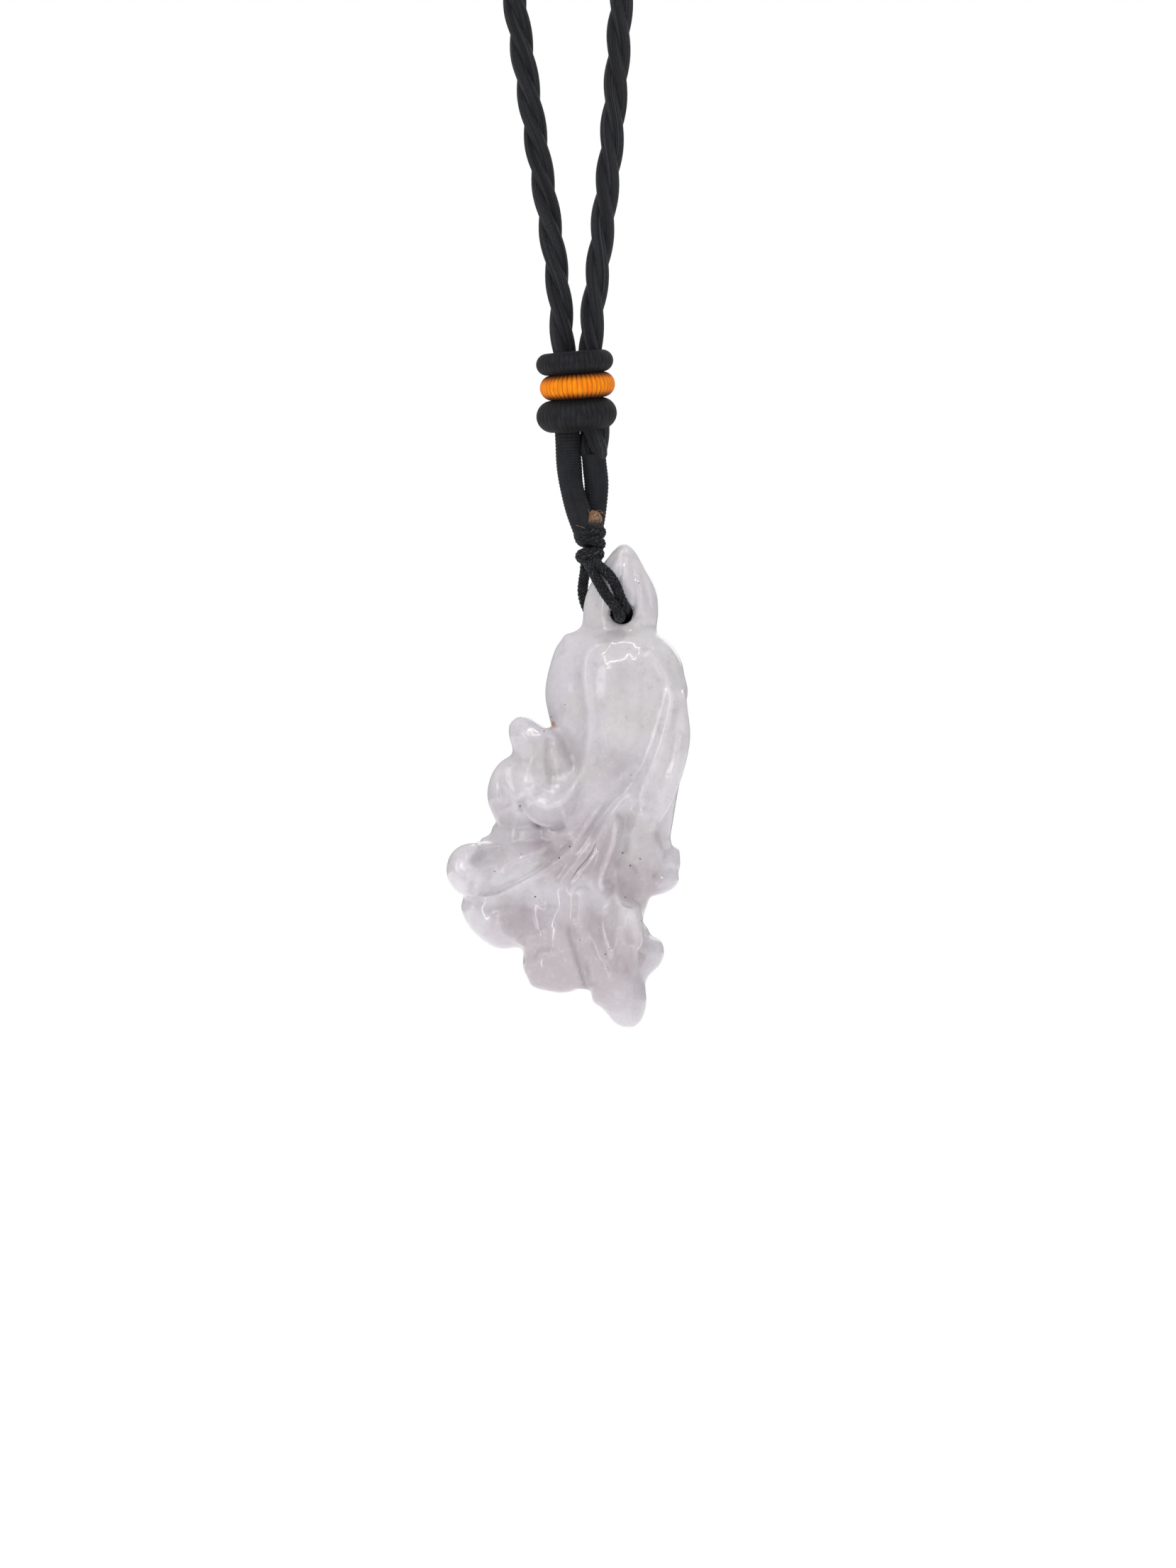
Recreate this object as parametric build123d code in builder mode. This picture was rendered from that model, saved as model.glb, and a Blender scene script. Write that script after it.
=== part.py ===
from build123d import *
from collections import namedtuple
from math import pi, radians, sqrt, tan
import os

# The pendant hangs from the inside of its neck rope, at the origin. +Z is up and the front faces -Y.
# All sizes are in millimetres.

# Heights, one hung from another
bead_drop = 305.2  # from the neck rest down to the bead's middle
hitch_below_bead = 14.8  # from the bead's middle down to the hitch's top
tip_below_hitch = 1.85  # from the hitch's top down to the stone's tip

# Neck rope
rope_size = 2.7  # thickness of the twisted rope
strand_spacing = 3.0  # between the two strands where they run through the bead
corner_share = 0.45  # of a corner's shorter run, taken up by its bend

# Wound bead, three rings of thread round both strands
bead_shift = -1.1  # the bead's middle, sideways
bead_roll = 4.0  # the rings' left ends hang lower, degrees
bead_nod = 6.0  # the bead's top leans forward, degrees
upper_ring_width = 8.3
upper_ring_height = 2.3
upper_ring_shift = -0.1  # sideways from the bead's leaning middle line
orange_ring_width = 8.1
orange_ring_height = 2.7
orange_ring_shift = 0.0
lower_ring_width = 8.7
lower_ring_height = 3.4
lower_ring_shift = -0.33
ring_bulge = 0.45  # how far each ring swells past its own edges
ring_seam = 0.06  # between one ring and the next
bead_clearance = 0.15  # between the rings and the strands

# Thread-bound eye under the bead
eye_size = 2.2  # thickness of the bound rope
eye_clearance = 0.1  # round the eye, in the hitch

# Hitch of thin cord
hitch_shift = 0.2  # the hitch's middle, sideways
upper_coil_width = 3.6
upper_coil_depth = 5.0
upper_coil_height = 2.1
lower_coil_width = 3.2
lower_coil_depth = 4.2
lower_coil_height = 1.6
coil_round = 0.6  # rounding of each coil's edges
coil_overlap = 0.3  # how far the lower coil reaches up into the upper one

# Melted end of the thin cord
singed_size = 1.2
singed_height = 1.75
singed_round = 0.3  # rounding of its top
singed_shift = 1.15  # from the hitch's middle, sideways
singed_forward = 1.35  # from the hitch's middle, to the front

# Thin braided cord through the stone
thin_size = 1.15
thin_gap = 0.1  # between the cord's melted end and the hitch

# Carved stone
stone_width = 26.2
stone_height = 52.1
stone_depth = 13.0
stone_shift = -2.1  # the stone's middle, sideways
bore_size = 2.6
bore_across = 0.219  # the drilled hole's middle, as a share of the stone's width
bore_down = 0.143  # and as a share of its height

# Where the parts meet
bead_plane = Plane((bead_shift, 0, -bead_drop)).rotated((bead_nod, -bead_roll, 0))
bead_height = upper_ring_height + orange_ring_height + lower_ring_height
hitch_drop = bead_drop + hitch_below_bead
lower_coil_drop = hitch_drop + upper_coil_height - coil_overlap
stone_drop = hitch_drop + tip_below_hitch
bore_x = stone_shift + bore_across * stone_width
bore_z = -stone_drop - bore_down * stone_height

# The rope's round from the bead's left side over the neck rest to its right side: across, depth, and
# drop as a share of the bead's drop
ROPE_ROUND = [
    (-3.06, -0.62, 0.9803),
    (-4.1, -0.6, 0.9495),
    (-6.3, -0.35, 0.9017),
    (-8.5, -0.1, 0.8486),
    (-13.0, 0.0, 0.7503),
    (-19.4, 0.0, 0.6094),
    (-25.6, 0.0, 0.4587),
    (-30.0, 0.0, 0.308),
    (-31.6, 0.0, 0.1835),
    (-29.2, 0.0, 0.0885),
    (-21.4, 0.0, 0.0249),
    (-9.5, 0.0, -0.0044),
    (9.5, 0.0, -0.0044),
    (21.0, 0.0, 0.0249),
    (28.0, 0.0, 0.0885),
    (29.4, 0.0, 0.1835),
    (26.0, 0.0, 0.308),
    (20.0, 0.0, 0.4587),
    (12.4, 0.0, 0.6094),
    (6.6, 0.0, 0.7503),
    (3.75, -0.1, 0.8486),
    (3.0, -0.35, 0.9017),
    (1.5, -0.6, 0.9495),
    (-0.06, -0.62, 0.9803),
]

# The rope's two ends under the bead: across, depth, and drop from the bead's middle as a share of the
# way to the hitch
ROPE_LEFT_END = (-2.33, 0.48, 0.3041)
ROPE_RIGHT_END = (0.88, 0.8, 0.5068)

# The bound eye's route, from the rope's left end round its foot in the hitch to the rope's right end
EYE_ROUTE = [
    (-2.31, 0.5, 0.3122),
    (-2.1, 0.82, 0.527),
    (-1.7, -0.35, 0.7432),
    (-0.2, -1.55, 1.0473),
    (0.1, 1.55, 1.0473),
    (1.1, 1.12, 0.723),
    (0.89, 0.82, 0.5149),
]

# The thin cord's two strands from the middle of the stone's hole: across, depth as a share of the
# stone's depth, and height
LEFT_STRAND_ROUTE = [
    (-3.72, -0.0692, 5.15),
    (-3.68, -0.0846, 4.75),
    (-2.85, -0.1923, 3.6),
    (-1.45, -0.2731, 2.2),
    (0.05, -0.2846, 0.63),
    (0.05, 0.2846, 0.63),
    (-0.6, 0.2808, 2.2),
    (-1.65, 0.2538, 3.5),
    (-2.4, 0.1692, 4.65),
    (-2.45, 0.15, 5.15),
]
RIGHT_STRAND_ROUTE = [
    (-2.42, -0.1346, 5.15),
    (-2.25, -0.1654, 4.75),
    (-1.0, -0.2923, 3.8),
    (-0.25, -0.3692, 2.0),
    (0.2, -0.3846, -0.63),
    (0.2, 0.3846, -0.63),
    (-2.4, 0.3538, 0.9),
    (-3.85, 0.2231, 2.9),
    (-4.02, 0.1154, 4.6),
    (-3.95, 0.0923, 5.15),
]

# The bead's rings, from the top down
Ring = namedtuple("Ring", "label width height shift")
BEAD_RINGS = [
    Ring("bead_upper_wrap", upper_ring_width, upper_ring_height, upper_ring_shift),
    Ring("bead_orange_wrap", orange_ring_width, orange_ring_height, orange_ring_shift),
    Ring("bead_lower_wrap", lower_ring_width, lower_ring_height, lower_ring_shift),
]

# The stone's core. Left and right are shares of the stone's width from its middle, down is a share of
# its height from the tip, and front and back are shares of its depth from the hanging plane.
Slice = namedtuple("Slice", "down left right front back")
CORE = [
    Slice(0.002, 0.220, 0.242, 0.020, 0.020),
    Slice(0.010, 0.188, 0.272, 0.070, 0.070),
    Slice(0.024, 0.163, 0.291, 0.115, 0.115),
    Slice(0.053, 0.122, 0.322, 0.165, 0.165),
    Slice(0.085, 0.085, 0.356, 0.200, 0.200),
    Slice(0.131, 0.060, 0.371, 0.215, 0.215),
    Slice(0.157, 0.058, 0.368, 0.212, 0.212),
    Slice(0.174, 0.048, 0.362, 0.220, 0.220),
    Slice(0.198, -0.030, 0.408, 0.290, 0.290),
    Slice(0.229, -0.068, 0.450, 0.370, 0.360),
    Slice(0.305, -0.097, 0.492, 0.430, 0.410),
    Slice(0.400, -0.085, 0.497, 0.430, 0.410),
    Slice(0.500, -0.110, 0.456, 0.400, 0.380),
    Slice(0.620, -0.160, 0.412, 0.360, 0.370),
    Slice(0.750, -0.205, 0.322, 0.330, 0.350),
    Slice(0.850, -0.165, 0.300, 0.290, 0.310),
    Slice(0.918, -0.030, 0.240, 0.160, 0.180),
]

# A leaf or fold is an egg: its middle across and down, half its length and width as shares of the
# stone's width, half its thickness and its forward shift as shares of the depth, its lean in degrees.
Leaf = namedtuple("Leaf", "name across down long wide thick forward lean")
EGG_STEPS = (-0.985, -0.85, -0.5, 0, 0.5, 0.85, 0.985)  # where each egg's sections lie, of half its length
LEAVES = [
    Leaf("upper left leaf", -0.100, 0.434, 0.190, 0.100, 0.20, 0.22, 42),
    Leaf("belly of the upper left leaf", -0.080, 0.500, 0.170, 0.145, 0.24, 0.26, 12),
    Leaf("second left leaf", -0.190, 0.510, 0.158, 0.155, 0.23, 0.08, 0),
    Leaf("curled end of the third left leaf", -0.392, 0.672, 0.112, 0.105, 0.25, 0.20, 15),
    Leaf("third left leaf", -0.215, 0.670, 0.270, 0.115, 0.24, 0.12, -77),
    Leaf("root of the third left leaf", -0.170, 0.610, 0.160, 0.100, 0.23, -0.02, -80),
    Leaf("lower left leaf", -0.228, 0.780, 0.230, 0.132, 0.22, 0.04, 64),
    Leaf("lower left corner", -0.050, 0.862, 0.155, 0.128, 0.22, 0.02, 66),
    Leaf("tip leaf", 0.175, 0.855, 0.220, 0.125, 0.24, 0.16, 16),
    Leaf("bottom tip", 0.228, 0.925, 0.155, 0.092, 0.20, 0.14, 8),
    Leaf("right lower leaf", 0.275, 0.843, 0.120, 0.120, 0.20, 0.02, 0),
    Leaf("folded rim of the right leaf", 0.245, 0.775, 0.135, 0.060, 0.14, 0.33, 12),
    Leaf("right side leaf", 0.400, 0.440, 0.300, 0.082, 0.13, 0.31, -14),
    Leaf("knob under the side leaf", 0.305, 0.545, 0.050, 0.046, 0.12, 0.36, 0),
    Leaf("right leaf's upper fold", 0.350, 0.660, 0.115, 0.070, 0.17, -0.06, 86),
    Leaf("right leaf's lower fold", 0.340, 0.694, 0.118, 0.068, 0.17, -0.02, 94),
    Leaf("left back leaf", 0.000, 0.500, 0.330, 0.160, 0.18, -0.30, 18),
    Leaf("right back leaf", 0.240, 0.560, 0.360, 0.140, 0.17, -0.29, -8),
    Leaf("low back leaf", 0.020, 0.760, 0.240, 0.150, 0.17, -0.26, 25),
]
HOLLOWS = [
    Leaf("bowl of the upper left leaf", -0.075, 0.462, 0.120, 0.080, 0.16, 0.54, 20),
    Leaf("valley inside the curl", -0.325, 0.643, 0.080, 0.045, 0.16, 0.46, -72),
    Leaf("pocket under the folded rim", 0.240, 0.712, 0.075, 0.060, 0.20, 0.46, 35),
    Leaf("groove between the veins", 0.085, 0.610, 0.150, 0.035, 0.09, 0.43, -32),
    Leaf("groove left of the tip leaf", -0.010, 0.830, 0.120, 0.045, 0.10, 0.38, 10),
]


def bend_radii(route):
    """The arc at each corner of a route, from its shorter run and half of its turn."""
    corners = [Vector(*point) for point in route]
    radii = []
    for before, here, after in zip(corners, corners[1:], corners[2:]):
        run_in = here - before
        run_out = after - here
        half_turn = radians(run_in.get_angle(run_out)) / 2
        radii.append(corner_share * min(run_in.length, run_out.length) / tan(half_turn))
    return radii


def cord_tube(label, route, thickness):
    """A round tube along straight runs joined by tangent arcs."""
    radii = bend_radii(route)
    with BuildLine(mode=Mode.PRIVATE) as line:
        FilletPolyline(*route, radius=radii)
    path = line.wire()
    with BuildPart() as tube:
        with BuildSketch(Plane(origin=path @ 0, z_dir=path % 0)):
            Circle(thickness / 2)
        sweep(path=path)
    tube.part.label = label
    full = pi / 4 * thickness**2 * path.length
    print(f"{label}: length {path.length:.1f}, volume {tube.part.volume / full:.4f} of section x length,")
    print("  radii " + " ".join(f"{radius:.1f}" for radius in radii))
    return tube


def wound_ring(ring, top):
    """One winding of thread: a swelling ring with a long hole for the two strands."""
    middle = top - ring.height / 2
    reach = ring.width / 2
    half = (ring.height - ring_seam) / 2
    centre = Plane(bead_plane.from_local_coords((ring.shift, 0, 0)), bead_plane.x_dir, bead_plane.z_dir)
    with BuildPart() as wrap:
        with BuildSketch(centre * Plane.XZ):
            with BuildLine():
                Line((0, middle - half), (reach - ring_bulge, middle - half))
                ThreePointArc(
                    (reach - ring_bulge, middle - half), (reach, middle), (reach - ring_bulge, middle + half)
                )
                Line((reach - ring_bulge, middle + half), (0, middle + half))
                Line((0, middle + half), (0, middle - half))
            make_face()
        revolve(axis=Axis(centre.origin, centre.z_dir))
        with BuildSketch(bead_plane.offset(middle - half)):
            SlotCenterToCenter(strand_spacing, rope_size + 2 * bead_clearance)
        extrude(amount=2 * half, mode=Mode.SUBTRACT)
    wrap.part.label = ring.label
    return wrap


def cord_coil(top, width, depth, height):
    """One turn of the hitch: a flat oval with rounded edges."""
    with BuildPart() as coil:
        with BuildSketch(Plane((hitch_shift, 0, -top - height))):
            Ellipse(width / 2, depth / 2)
        extrude(amount=height)
        fillet(coil.edges(), coil_round)
    return coil


def round_neck(route):
    """Points of the rope's round over the neck rest, from their shares of the bead's drop."""
    return [(across, depth, -share * bead_drop) for across, depth, share in route]


def under_bead(route):
    """Points between the bead and the hitch, from their shares of the way down."""
    return [(across, depth, -bead_drop - share * hitch_below_bead) for across, depth, share in route]


def from_bore(route):
    """Points of a thin strand, measured from the middle of the stone's hole."""
    return [(bore_x + across, share * stone_depth, bore_z + height) for across, share, height in route]


def lofted(slices):
    """A solid through level ovals, each from its own left, right, front and back."""
    with BuildPart() as body:
        for row in slices:
            middle = Vector(
                stone_shift + stone_width * (row.left + row.right) / 2,
                stone_depth * (row.back - row.front) / 2,
                -stone_drop - stone_height * row.down,
            )
            with BuildSketch(Plane(middle)):
                Ellipse(stone_width * (row.right - row.left) / 2, stone_depth * (row.front + row.back) / 2)
        loft()
    return body


def egg(leaf):
    """A leaf or fold, round in every section, with its length leaning in the plane of the front."""
    place = Plane(
        origin=(
            stone_shift + stone_width * leaf.across,
            -stone_depth * leaf.forward,
            -stone_drop - stone_height * leaf.down,
        ),
        x_dir=(1, 0, 0),
        z_dir=(0, 0, 1),
    ).rotated((0, -leaf.lean, 0))
    with BuildPart() as body:
        for step in EGG_STEPS:
            girth = sqrt(1 - step**2)
            with BuildSketch(place.offset(step * leaf.long * stone_width)):
                Ellipse(girth * leaf.wide * stone_width, girth * leaf.thick * stone_depth)
        loft()
    return body


os.makedirs("parts", exist_ok=True)

# Neck rope, one whole loop from the eye's left end to its right end
rope_route = [*under_bead([ROPE_LEFT_END]), *round_neck(ROPE_ROUND), *under_bead([ROPE_RIGHT_END])]
neck_rope = cord_tube("neck_rope", rope_route, rope_size)
export_step(neck_rope.part, "parts/neck_rope.step")

# The bead's rings, stacked down its leaning middle line
ring_top = bead_height / 2
for ring in BEAD_RINGS:
    bead_wrap = wound_ring(ring, ring_top)
    export_step(bead_wrap.part, f"parts/{ring.label}.step")
    ring_top -= ring.height

# Bound eye
eye_route = under_bead(EYE_ROUTE)
wound_loop = cord_tube("wound_loop", eye_route, eye_size)
export_step(wound_loop.part, "parts/wound_loop.step")

# Hitch of two coils, hollowed where it grips the foot of the eye
eye_room = cord_tube("room for the eye", eye_route, eye_size + 2 * eye_clearance)
upper_coil = cord_coil(hitch_drop, upper_coil_width, upper_coil_depth, upper_coil_height)
lower_coil = cord_coil(lower_coil_drop, lower_coil_width, lower_coil_depth, lower_coil_height + coil_overlap)
with BuildPart() as hitch_knot:
    add(upper_coil.part)
    add(lower_coil.part)
    add(eye_room.part, mode=Mode.SUBTRACT)
hitch_knot.part.label = "hitch_knot"
export_step(hitch_knot.part, "parts/hitch_knot.step")

# Melted end of the thin cord, standing on the hitch beside the eye
with BuildPart() as singed_end:
    with BuildSketch(Plane((hitch_shift + singed_shift, -singed_forward, -hitch_drop + thin_gap))):
        Circle(singed_size / 2)
    extrude(amount=singed_height)
    fillet(singed_end.edges().sort_by(Axis.Z)[-1], singed_round)
singed_end.part.label = "singed_end"
export_step(singed_end.part, "parts/singed_end.step")

# Thin cord, two strands through the stone's hole
for label, route in (("hanging_cord_left", LEFT_STRAND_ROUTE), ("hanging_cord_right", RIGHT_STRAND_ROUTE)):
    strand = cord_tube(label, from_bore(route), thin_size)
    export_step(strand.part, f"parts/{label}.step")

# Carved stone: the core, its leaves and folds, less the hollows and the drilled hole
core = lofted(CORE)
leaves = [egg(leaf) for leaf in LEAVES]
hollows = [egg(hollow) for hollow in HOLLOWS]
with BuildPart() as bok_choy_stone:
    add(core.part)
    for leaf in leaves:
        add(leaf.part)
    for hollow in hollows:
        add(hollow.part, mode=Mode.SUBTRACT)
    with BuildSketch(Plane(origin=(bore_x, -stone_depth / 2, bore_z), z_dir=(0, 1, 0))):
        Circle(bore_size / 2)
    extrude(amount=stone_depth, mode=Mode.SUBTRACT)
bok_choy_stone.part.label = "bok_choy_stone"
export_step(bok_choy_stone.part, "parts/bok_choy_stone.step")
print(f"bok_choy_stone: volume {bok_choy_stone.part.volume:.0f}")
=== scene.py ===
import logging
from dataclasses import dataclass
from enum import Enum
from math import cos, pi, radians, sin
from typing import Any, Callable, Mapping, Sequence

import bmesh
import bpy
import numpy as np
from mathutils import Matrix, Vector


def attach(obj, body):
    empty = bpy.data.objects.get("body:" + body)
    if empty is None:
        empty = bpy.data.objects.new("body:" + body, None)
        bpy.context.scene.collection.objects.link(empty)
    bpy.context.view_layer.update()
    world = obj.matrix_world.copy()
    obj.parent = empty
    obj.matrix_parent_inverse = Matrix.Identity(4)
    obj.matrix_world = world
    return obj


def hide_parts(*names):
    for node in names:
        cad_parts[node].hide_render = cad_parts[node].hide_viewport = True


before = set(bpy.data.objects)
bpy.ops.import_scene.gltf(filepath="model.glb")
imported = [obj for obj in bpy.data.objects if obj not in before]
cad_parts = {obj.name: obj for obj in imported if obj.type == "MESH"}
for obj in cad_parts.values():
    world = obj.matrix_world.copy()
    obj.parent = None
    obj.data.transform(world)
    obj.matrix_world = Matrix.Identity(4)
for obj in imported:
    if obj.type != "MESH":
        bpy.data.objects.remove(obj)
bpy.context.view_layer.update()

log = logging.getLogger("pendant")

Point = tuple[float, float, float]
Pixel = tuple[float, float]
Colour = tuple[float, float, float, float]

MM = 0.001
PIXEL = 0.0766 * MM  # one pixel of the photograph at the hanging plane
FRAME_PIXELS = (1659, 2212)
BEAD_TOP_ROW = 484  # the photograph's row just above the bead, and its height in the frame
BEAD_TOP_HEIGHT = -0.300
CAMERA_DISTANCE = 0.230
CAMERA_HEIGHT = BEAD_TOP_HEIGHT - (FRAME_PIXELS[1] / 2 - BEAD_TOP_ROW) * PIXEL
SAME_POINT = 1e-6  # metres within which two points of a mesh are one
WHITE: Colour = (1.0, 1.0, 1.0, 1.0)


def to_photo(places: np.ndarray) -> np.ndarray:
    """Where points in front of the camera fall on the photograph.

    Args:
        places: an array of points in metres, one a row.

    Returns:
        Their pixels across and down, one pair a row.
    """
    nearness = CAMERA_DISTANCE / (CAMERA_DISTANCE + places[:, 1])
    across = FRAME_PIXELS[0] / 2 + places[:, 0] * nearness / PIXEL
    down = FRAME_PIXELS[1] / 2 - (places[:, 2] - CAMERA_HEIGHT) * nearness / PIXEL
    return np.stack([across, down], axis=1)


def from_photo(pixel: Pixel, depth: float = 0.0) -> Vector:
    """The point that a pixel shows.

    Args:
        pixel: its place across and down the photograph.
        depth: how far the point lies behind the hanging plane, in metres.

    Returns:
        The point, in metres in the shared frame.
    """
    nearness = CAMERA_DISTANCE / (CAMERA_DISTANCE + depth)
    across = (pixel[0] - FRAME_PIXELS[0] / 2) * PIXEL / nearness
    height = CAMERA_HEIGHT - (pixel[1] - FRAME_PIXELS[1] / 2) * PIXEL / nearness
    return Vector((across, depth, height))


def in_metres(*places: Point) -> tuple[Point, ...]:
    """A cord's route in metres, from points in millimetres."""
    return tuple((x * MM, y * MM, z * MM) for x, y, z in places)


# ---------------------------------------------------------------- shader maths


class Wire:
    """A value in a material's nodes that takes part in sums."""

    def __init__(self, nodes: "NodeMaker", socket: bpy.types.NodeSocket) -> None:
        """Keeps the socket and the nodes that it belongs to."""
        self.nodes = nodes
        self.socket = socket

    def _sum(self, operation: str, *values: Any) -> "Wire":
        """A Math node on these values."""
        inputs = dict(enumerate(values))
        return self.nodes.node("ShaderNodeMath", {"operation": operation}, inputs)

    def __add__(self, other: Any) -> "Wire":
        """self + other."""
        return self._sum("ADD", self, other)

    def __radd__(self, other: Any) -> "Wire":
        """other + self."""
        return self._sum("ADD", other, self)

    def __sub__(self, other: Any) -> "Wire":
        """self - other."""
        return self._sum("SUBTRACT", self, other)

    def __rsub__(self, other: Any) -> "Wire":
        """other - self."""
        return self._sum("SUBTRACT", other, self)

    def __mul__(self, other: Any) -> "Wire":
        """self * other."""
        return self._sum("MULTIPLY", self, other)

    def __rmul__(self, other: Any) -> "Wire":
        """other * self."""
        return self._sum("MULTIPLY", other, self)

    def __abs__(self) -> "Wire":
        """The distance from nought."""
        return self._sum("ABSOLUTE", self)

    def cosine(self) -> "Wire":
        """The cosine of an angle in radians."""
        return self._sum("COSINE", self)

    def sine(self) -> "Wire":
        """The sine of an angle in radians."""
        return self._sum("SINE", self)

    def ramp(self, low: float, high: float) -> "Wire":
        """A smooth step between two values.

        Args:
            low: the value up to which it is 0.
            high: the value from which it is 1; where low is the larger, it falls instead of rising.

        Returns:
            The step.
        """
        start, end, below, above = (low, high, 0.0, 1.0) if low < high else (high, low, 1.0, 0.0)
        inputs = {"Value": self, "From Min": start, "From Max": end, "To Min": below, "To Max": above}
        return self.nodes.node("ShaderNodeMapRange", {"interpolation_type": "SMOOTHSTEP"}, inputs)


class NodeMaker:
    """The nodes of one tree, with a shader at their end."""

    def __init__(self, tree: bpy.types.NodeTree, shader: bpy.types.Node) -> None:
        """Keeps the tree and its shader."""
        self.tree = tree
        self.shader = shader

    def node(
        self,
        kind: str,
        settings: Mapping[str, Any] | None = None,
        inputs: Mapping[Any, Any] | None = None,
        out: Any = 0,
    ) -> Wire:
        """Adds a node.

        Args:
            kind: the node's type.
            settings: its properties, and a ramp's stops as pairs of place and colour.
            inputs: values or wires for its sockets, by name or number.
            out: the socket to go on from.

        Returns:
            A wire from that socket.
        """
        made = self.tree.nodes.new(kind)
        for key, value in (settings or {}).items():
            if key == "stops":
                self._set_stops(made.color_ramp, value)
            else:
                setattr(made, key, value)
        for key, value in (inputs or {}).items():
            self._feed(made.inputs[key], value)
        return Wire(self, made.outputs[out])

    def _set_stops(self, ramp: bpy.types.ColorRamp, stops: Sequence[tuple[float, Colour]]) -> None:
        """Gives a colour ramp its stops.

        Args:
            ramp: the colour ramp.
            stops: pairs of place and colour.
        """
        while len(ramp.elements) < len(stops):
            ramp.elements.new(0.5)
        for element, (place, colour) in zip(ramp.elements, stops):
            element.position = place
            element.color = colour

    def _feed(self, socket: bpy.types.NodeSocket, value: Any) -> None:
        """Links a wire to a socket, or sets the socket's value.

        Args:
            socket: the socket.
            value: the wire or the value.
        """
        if isinstance(value, Wire):
            self.tree.links.new(value.socket, socket)
        else:
            socket.default_value = value

    def set(self, **values: Any) -> None:
        """Feeds the shader's sockets, named with underscores for spaces."""
        for key, value in values.items():
            self._feed(self.shader.inputs[key.replace("_", " ")], value)

    def blend(self, share: Any, first: Any, second: Any) -> Wire:
        """A colour between two, by a share from 0 to 1.

        Args:
            share: 0 for the first colour and 1 for the second.
            first: the first colour.
            second: the second colour.

        Returns:
            The colour.
        """
        share_socket, first_socket, second_socket, colour_out = 0, 6, 7, 2  # where it mixes colours
        inputs = {share_socket: share, first_socket: first, second_socket: second}
        return self.node("ShaderNodeMix", {"data_type": "RGBA", "blend_type": "MIX"}, inputs, colour_out)


class FinishNodes(NodeMaker):
    """The nodes of one material, with a Principled shader at their end."""

    def __init__(self, name: str) -> None:
        """Starts a material that holds one Principled shader.

        Args:
            name: the material's name.
        """
        self.material = bpy.data.materials.new(name)
        self.material.use_nodes = True
        tree = self.material.node_tree
        super().__init__(tree, tree.nodes["Principled BSDF"])

    def place(self) -> Wire:
        """The place on the piece, in metres."""
        return self.node("ShaderNodeTexCoord", out="Object")

    def attribute(self, name: str) -> Wire:
        """A number kept on the mesh's points."""
        return self.node("ShaderNodeAttribute", {"attribute_name": name}, out="Fac")

    def noise(self, where: Wire, scale: float, detail: float = 3.0, roughness: float = 0.5) -> Wire:
        """Cloudy noise from 0 to 1."""
        inputs = {"Vector": where, "Scale": scale, "Detail": detail, "Roughness": roughness}
        return self.node("ShaderNodeTexNoise", inputs=inputs)

    def vector(self, across: Any, along: Any, up: Any) -> Wire:
        """A vector from three numbers."""
        return self.node("ShaderNodeCombineXYZ", inputs={0: across, 1: along, 2: up})

    def vector_sum(self, operation: str, first: Any, second: Any, out: Any = 0) -> Wire:
        """A Vector Math node on two vectors."""
        return self.node("ShaderNodeVectorMath", {"operation": operation}, {0: first, 1: second}, out)

    def bump(self, height: Wire, depth: float, strength: float = 1.0) -> Wire:
        """A surface normal from a height, for a relief of this depth in metres."""
        inputs = {"Height": height, "Distance": depth, "Strength": strength}
        return self.node("ShaderNodeBump", inputs=inputs)

    def round_tube(self, turns: float, fineness: float, steps: float) -> Wire:
        """A vector that runs round and along a tube without a seam.

        Args:
            turns: how often the pattern goes round the tube in its whole length.
            fineness: the pattern's size round the tube.
            steps: the tube's whole length in steps of the pattern.

        Returns:
            The vector.
        """
        uv = self.node("ShaderNodeUVMap", {"uv_map": "UVMap"})
        around = self.node("ShaderNodeSeparateXYZ", inputs={0: uv}, out="X")
        along = Wire(self, around.socket.node.outputs["Y"])
        angle = (around + along * turns) * (2 * pi)
        return self.vector(angle.cosine() * fineness, angle.sine() * fineness, along * steps)


# ---------------------------------------------------------------- finishes


@dataclass(frozen=True)
class FibreFinish:
    """Yarn of fine satin fibres that run along a strand, with painted glints in short streaks that are
    also smoother.
    """

    name: str
    dark: Colour
    # the colour of the painted glints in the streaks
    light: Colour
    turns_per_metre: float
    roughness: float = 0.52
    gloss: float = 0.18  # how much smoother the streaks are
    fineness: float = 3.2  # the streaks' fineness round the strand
    fibre_pace: float = 620.0  # steps of each pattern in a metre of strand
    streak_pace: float = 1400.0
    clump_pace: float = 260.0
    relief: float = 0.09 * MM

    def material(self, length: float) -> bpy.types.Material:
        """The material for a strand.

        Args:
            length: the strand's length in metres.

        Returns:
            The material.
        """
        nodes = FinishNodes(self.name)
        turns = self.turns_per_metre * length
        fibre_course = nodes.round_tube(turns, self.fineness * 1.5, length * self.fibre_pace)
        streak_course = nodes.round_tube(turns, self.fineness, length * self.streak_pace)
        clump_course = nodes.round_tube(turns, self.fineness * 0.3, length * self.clump_pace)
        fibres = nodes.noise(fibre_course, scale=1.0, detail=4.0, roughness=0.62)
        streaks = nodes.noise(streak_course, scale=1.0, detail=1.0)
        clumps = nodes.noise(clump_course, scale=1.0, detail=1.0)
        # painted glints: short streaks of lighter colour, which are also smoother
        painted_glint = streaks.ramp(0.55, 0.66) * clumps.ramp(0.44, 0.60)
        nodes.set(
            Base_Color=nodes.blend(painted_glint, self.dark, self.light),
            Roughness=self.roughness - painted_glint * self.gloss,
            Specular_IOR_Level=0.14,
            Sheen_Weight=0.02,
            Sheen_Roughness=0.45,
            Normal=nodes.bump(fibres + streaks * 0.6, self.relief, strength=0.8),
        )
        return nodes.material


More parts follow.
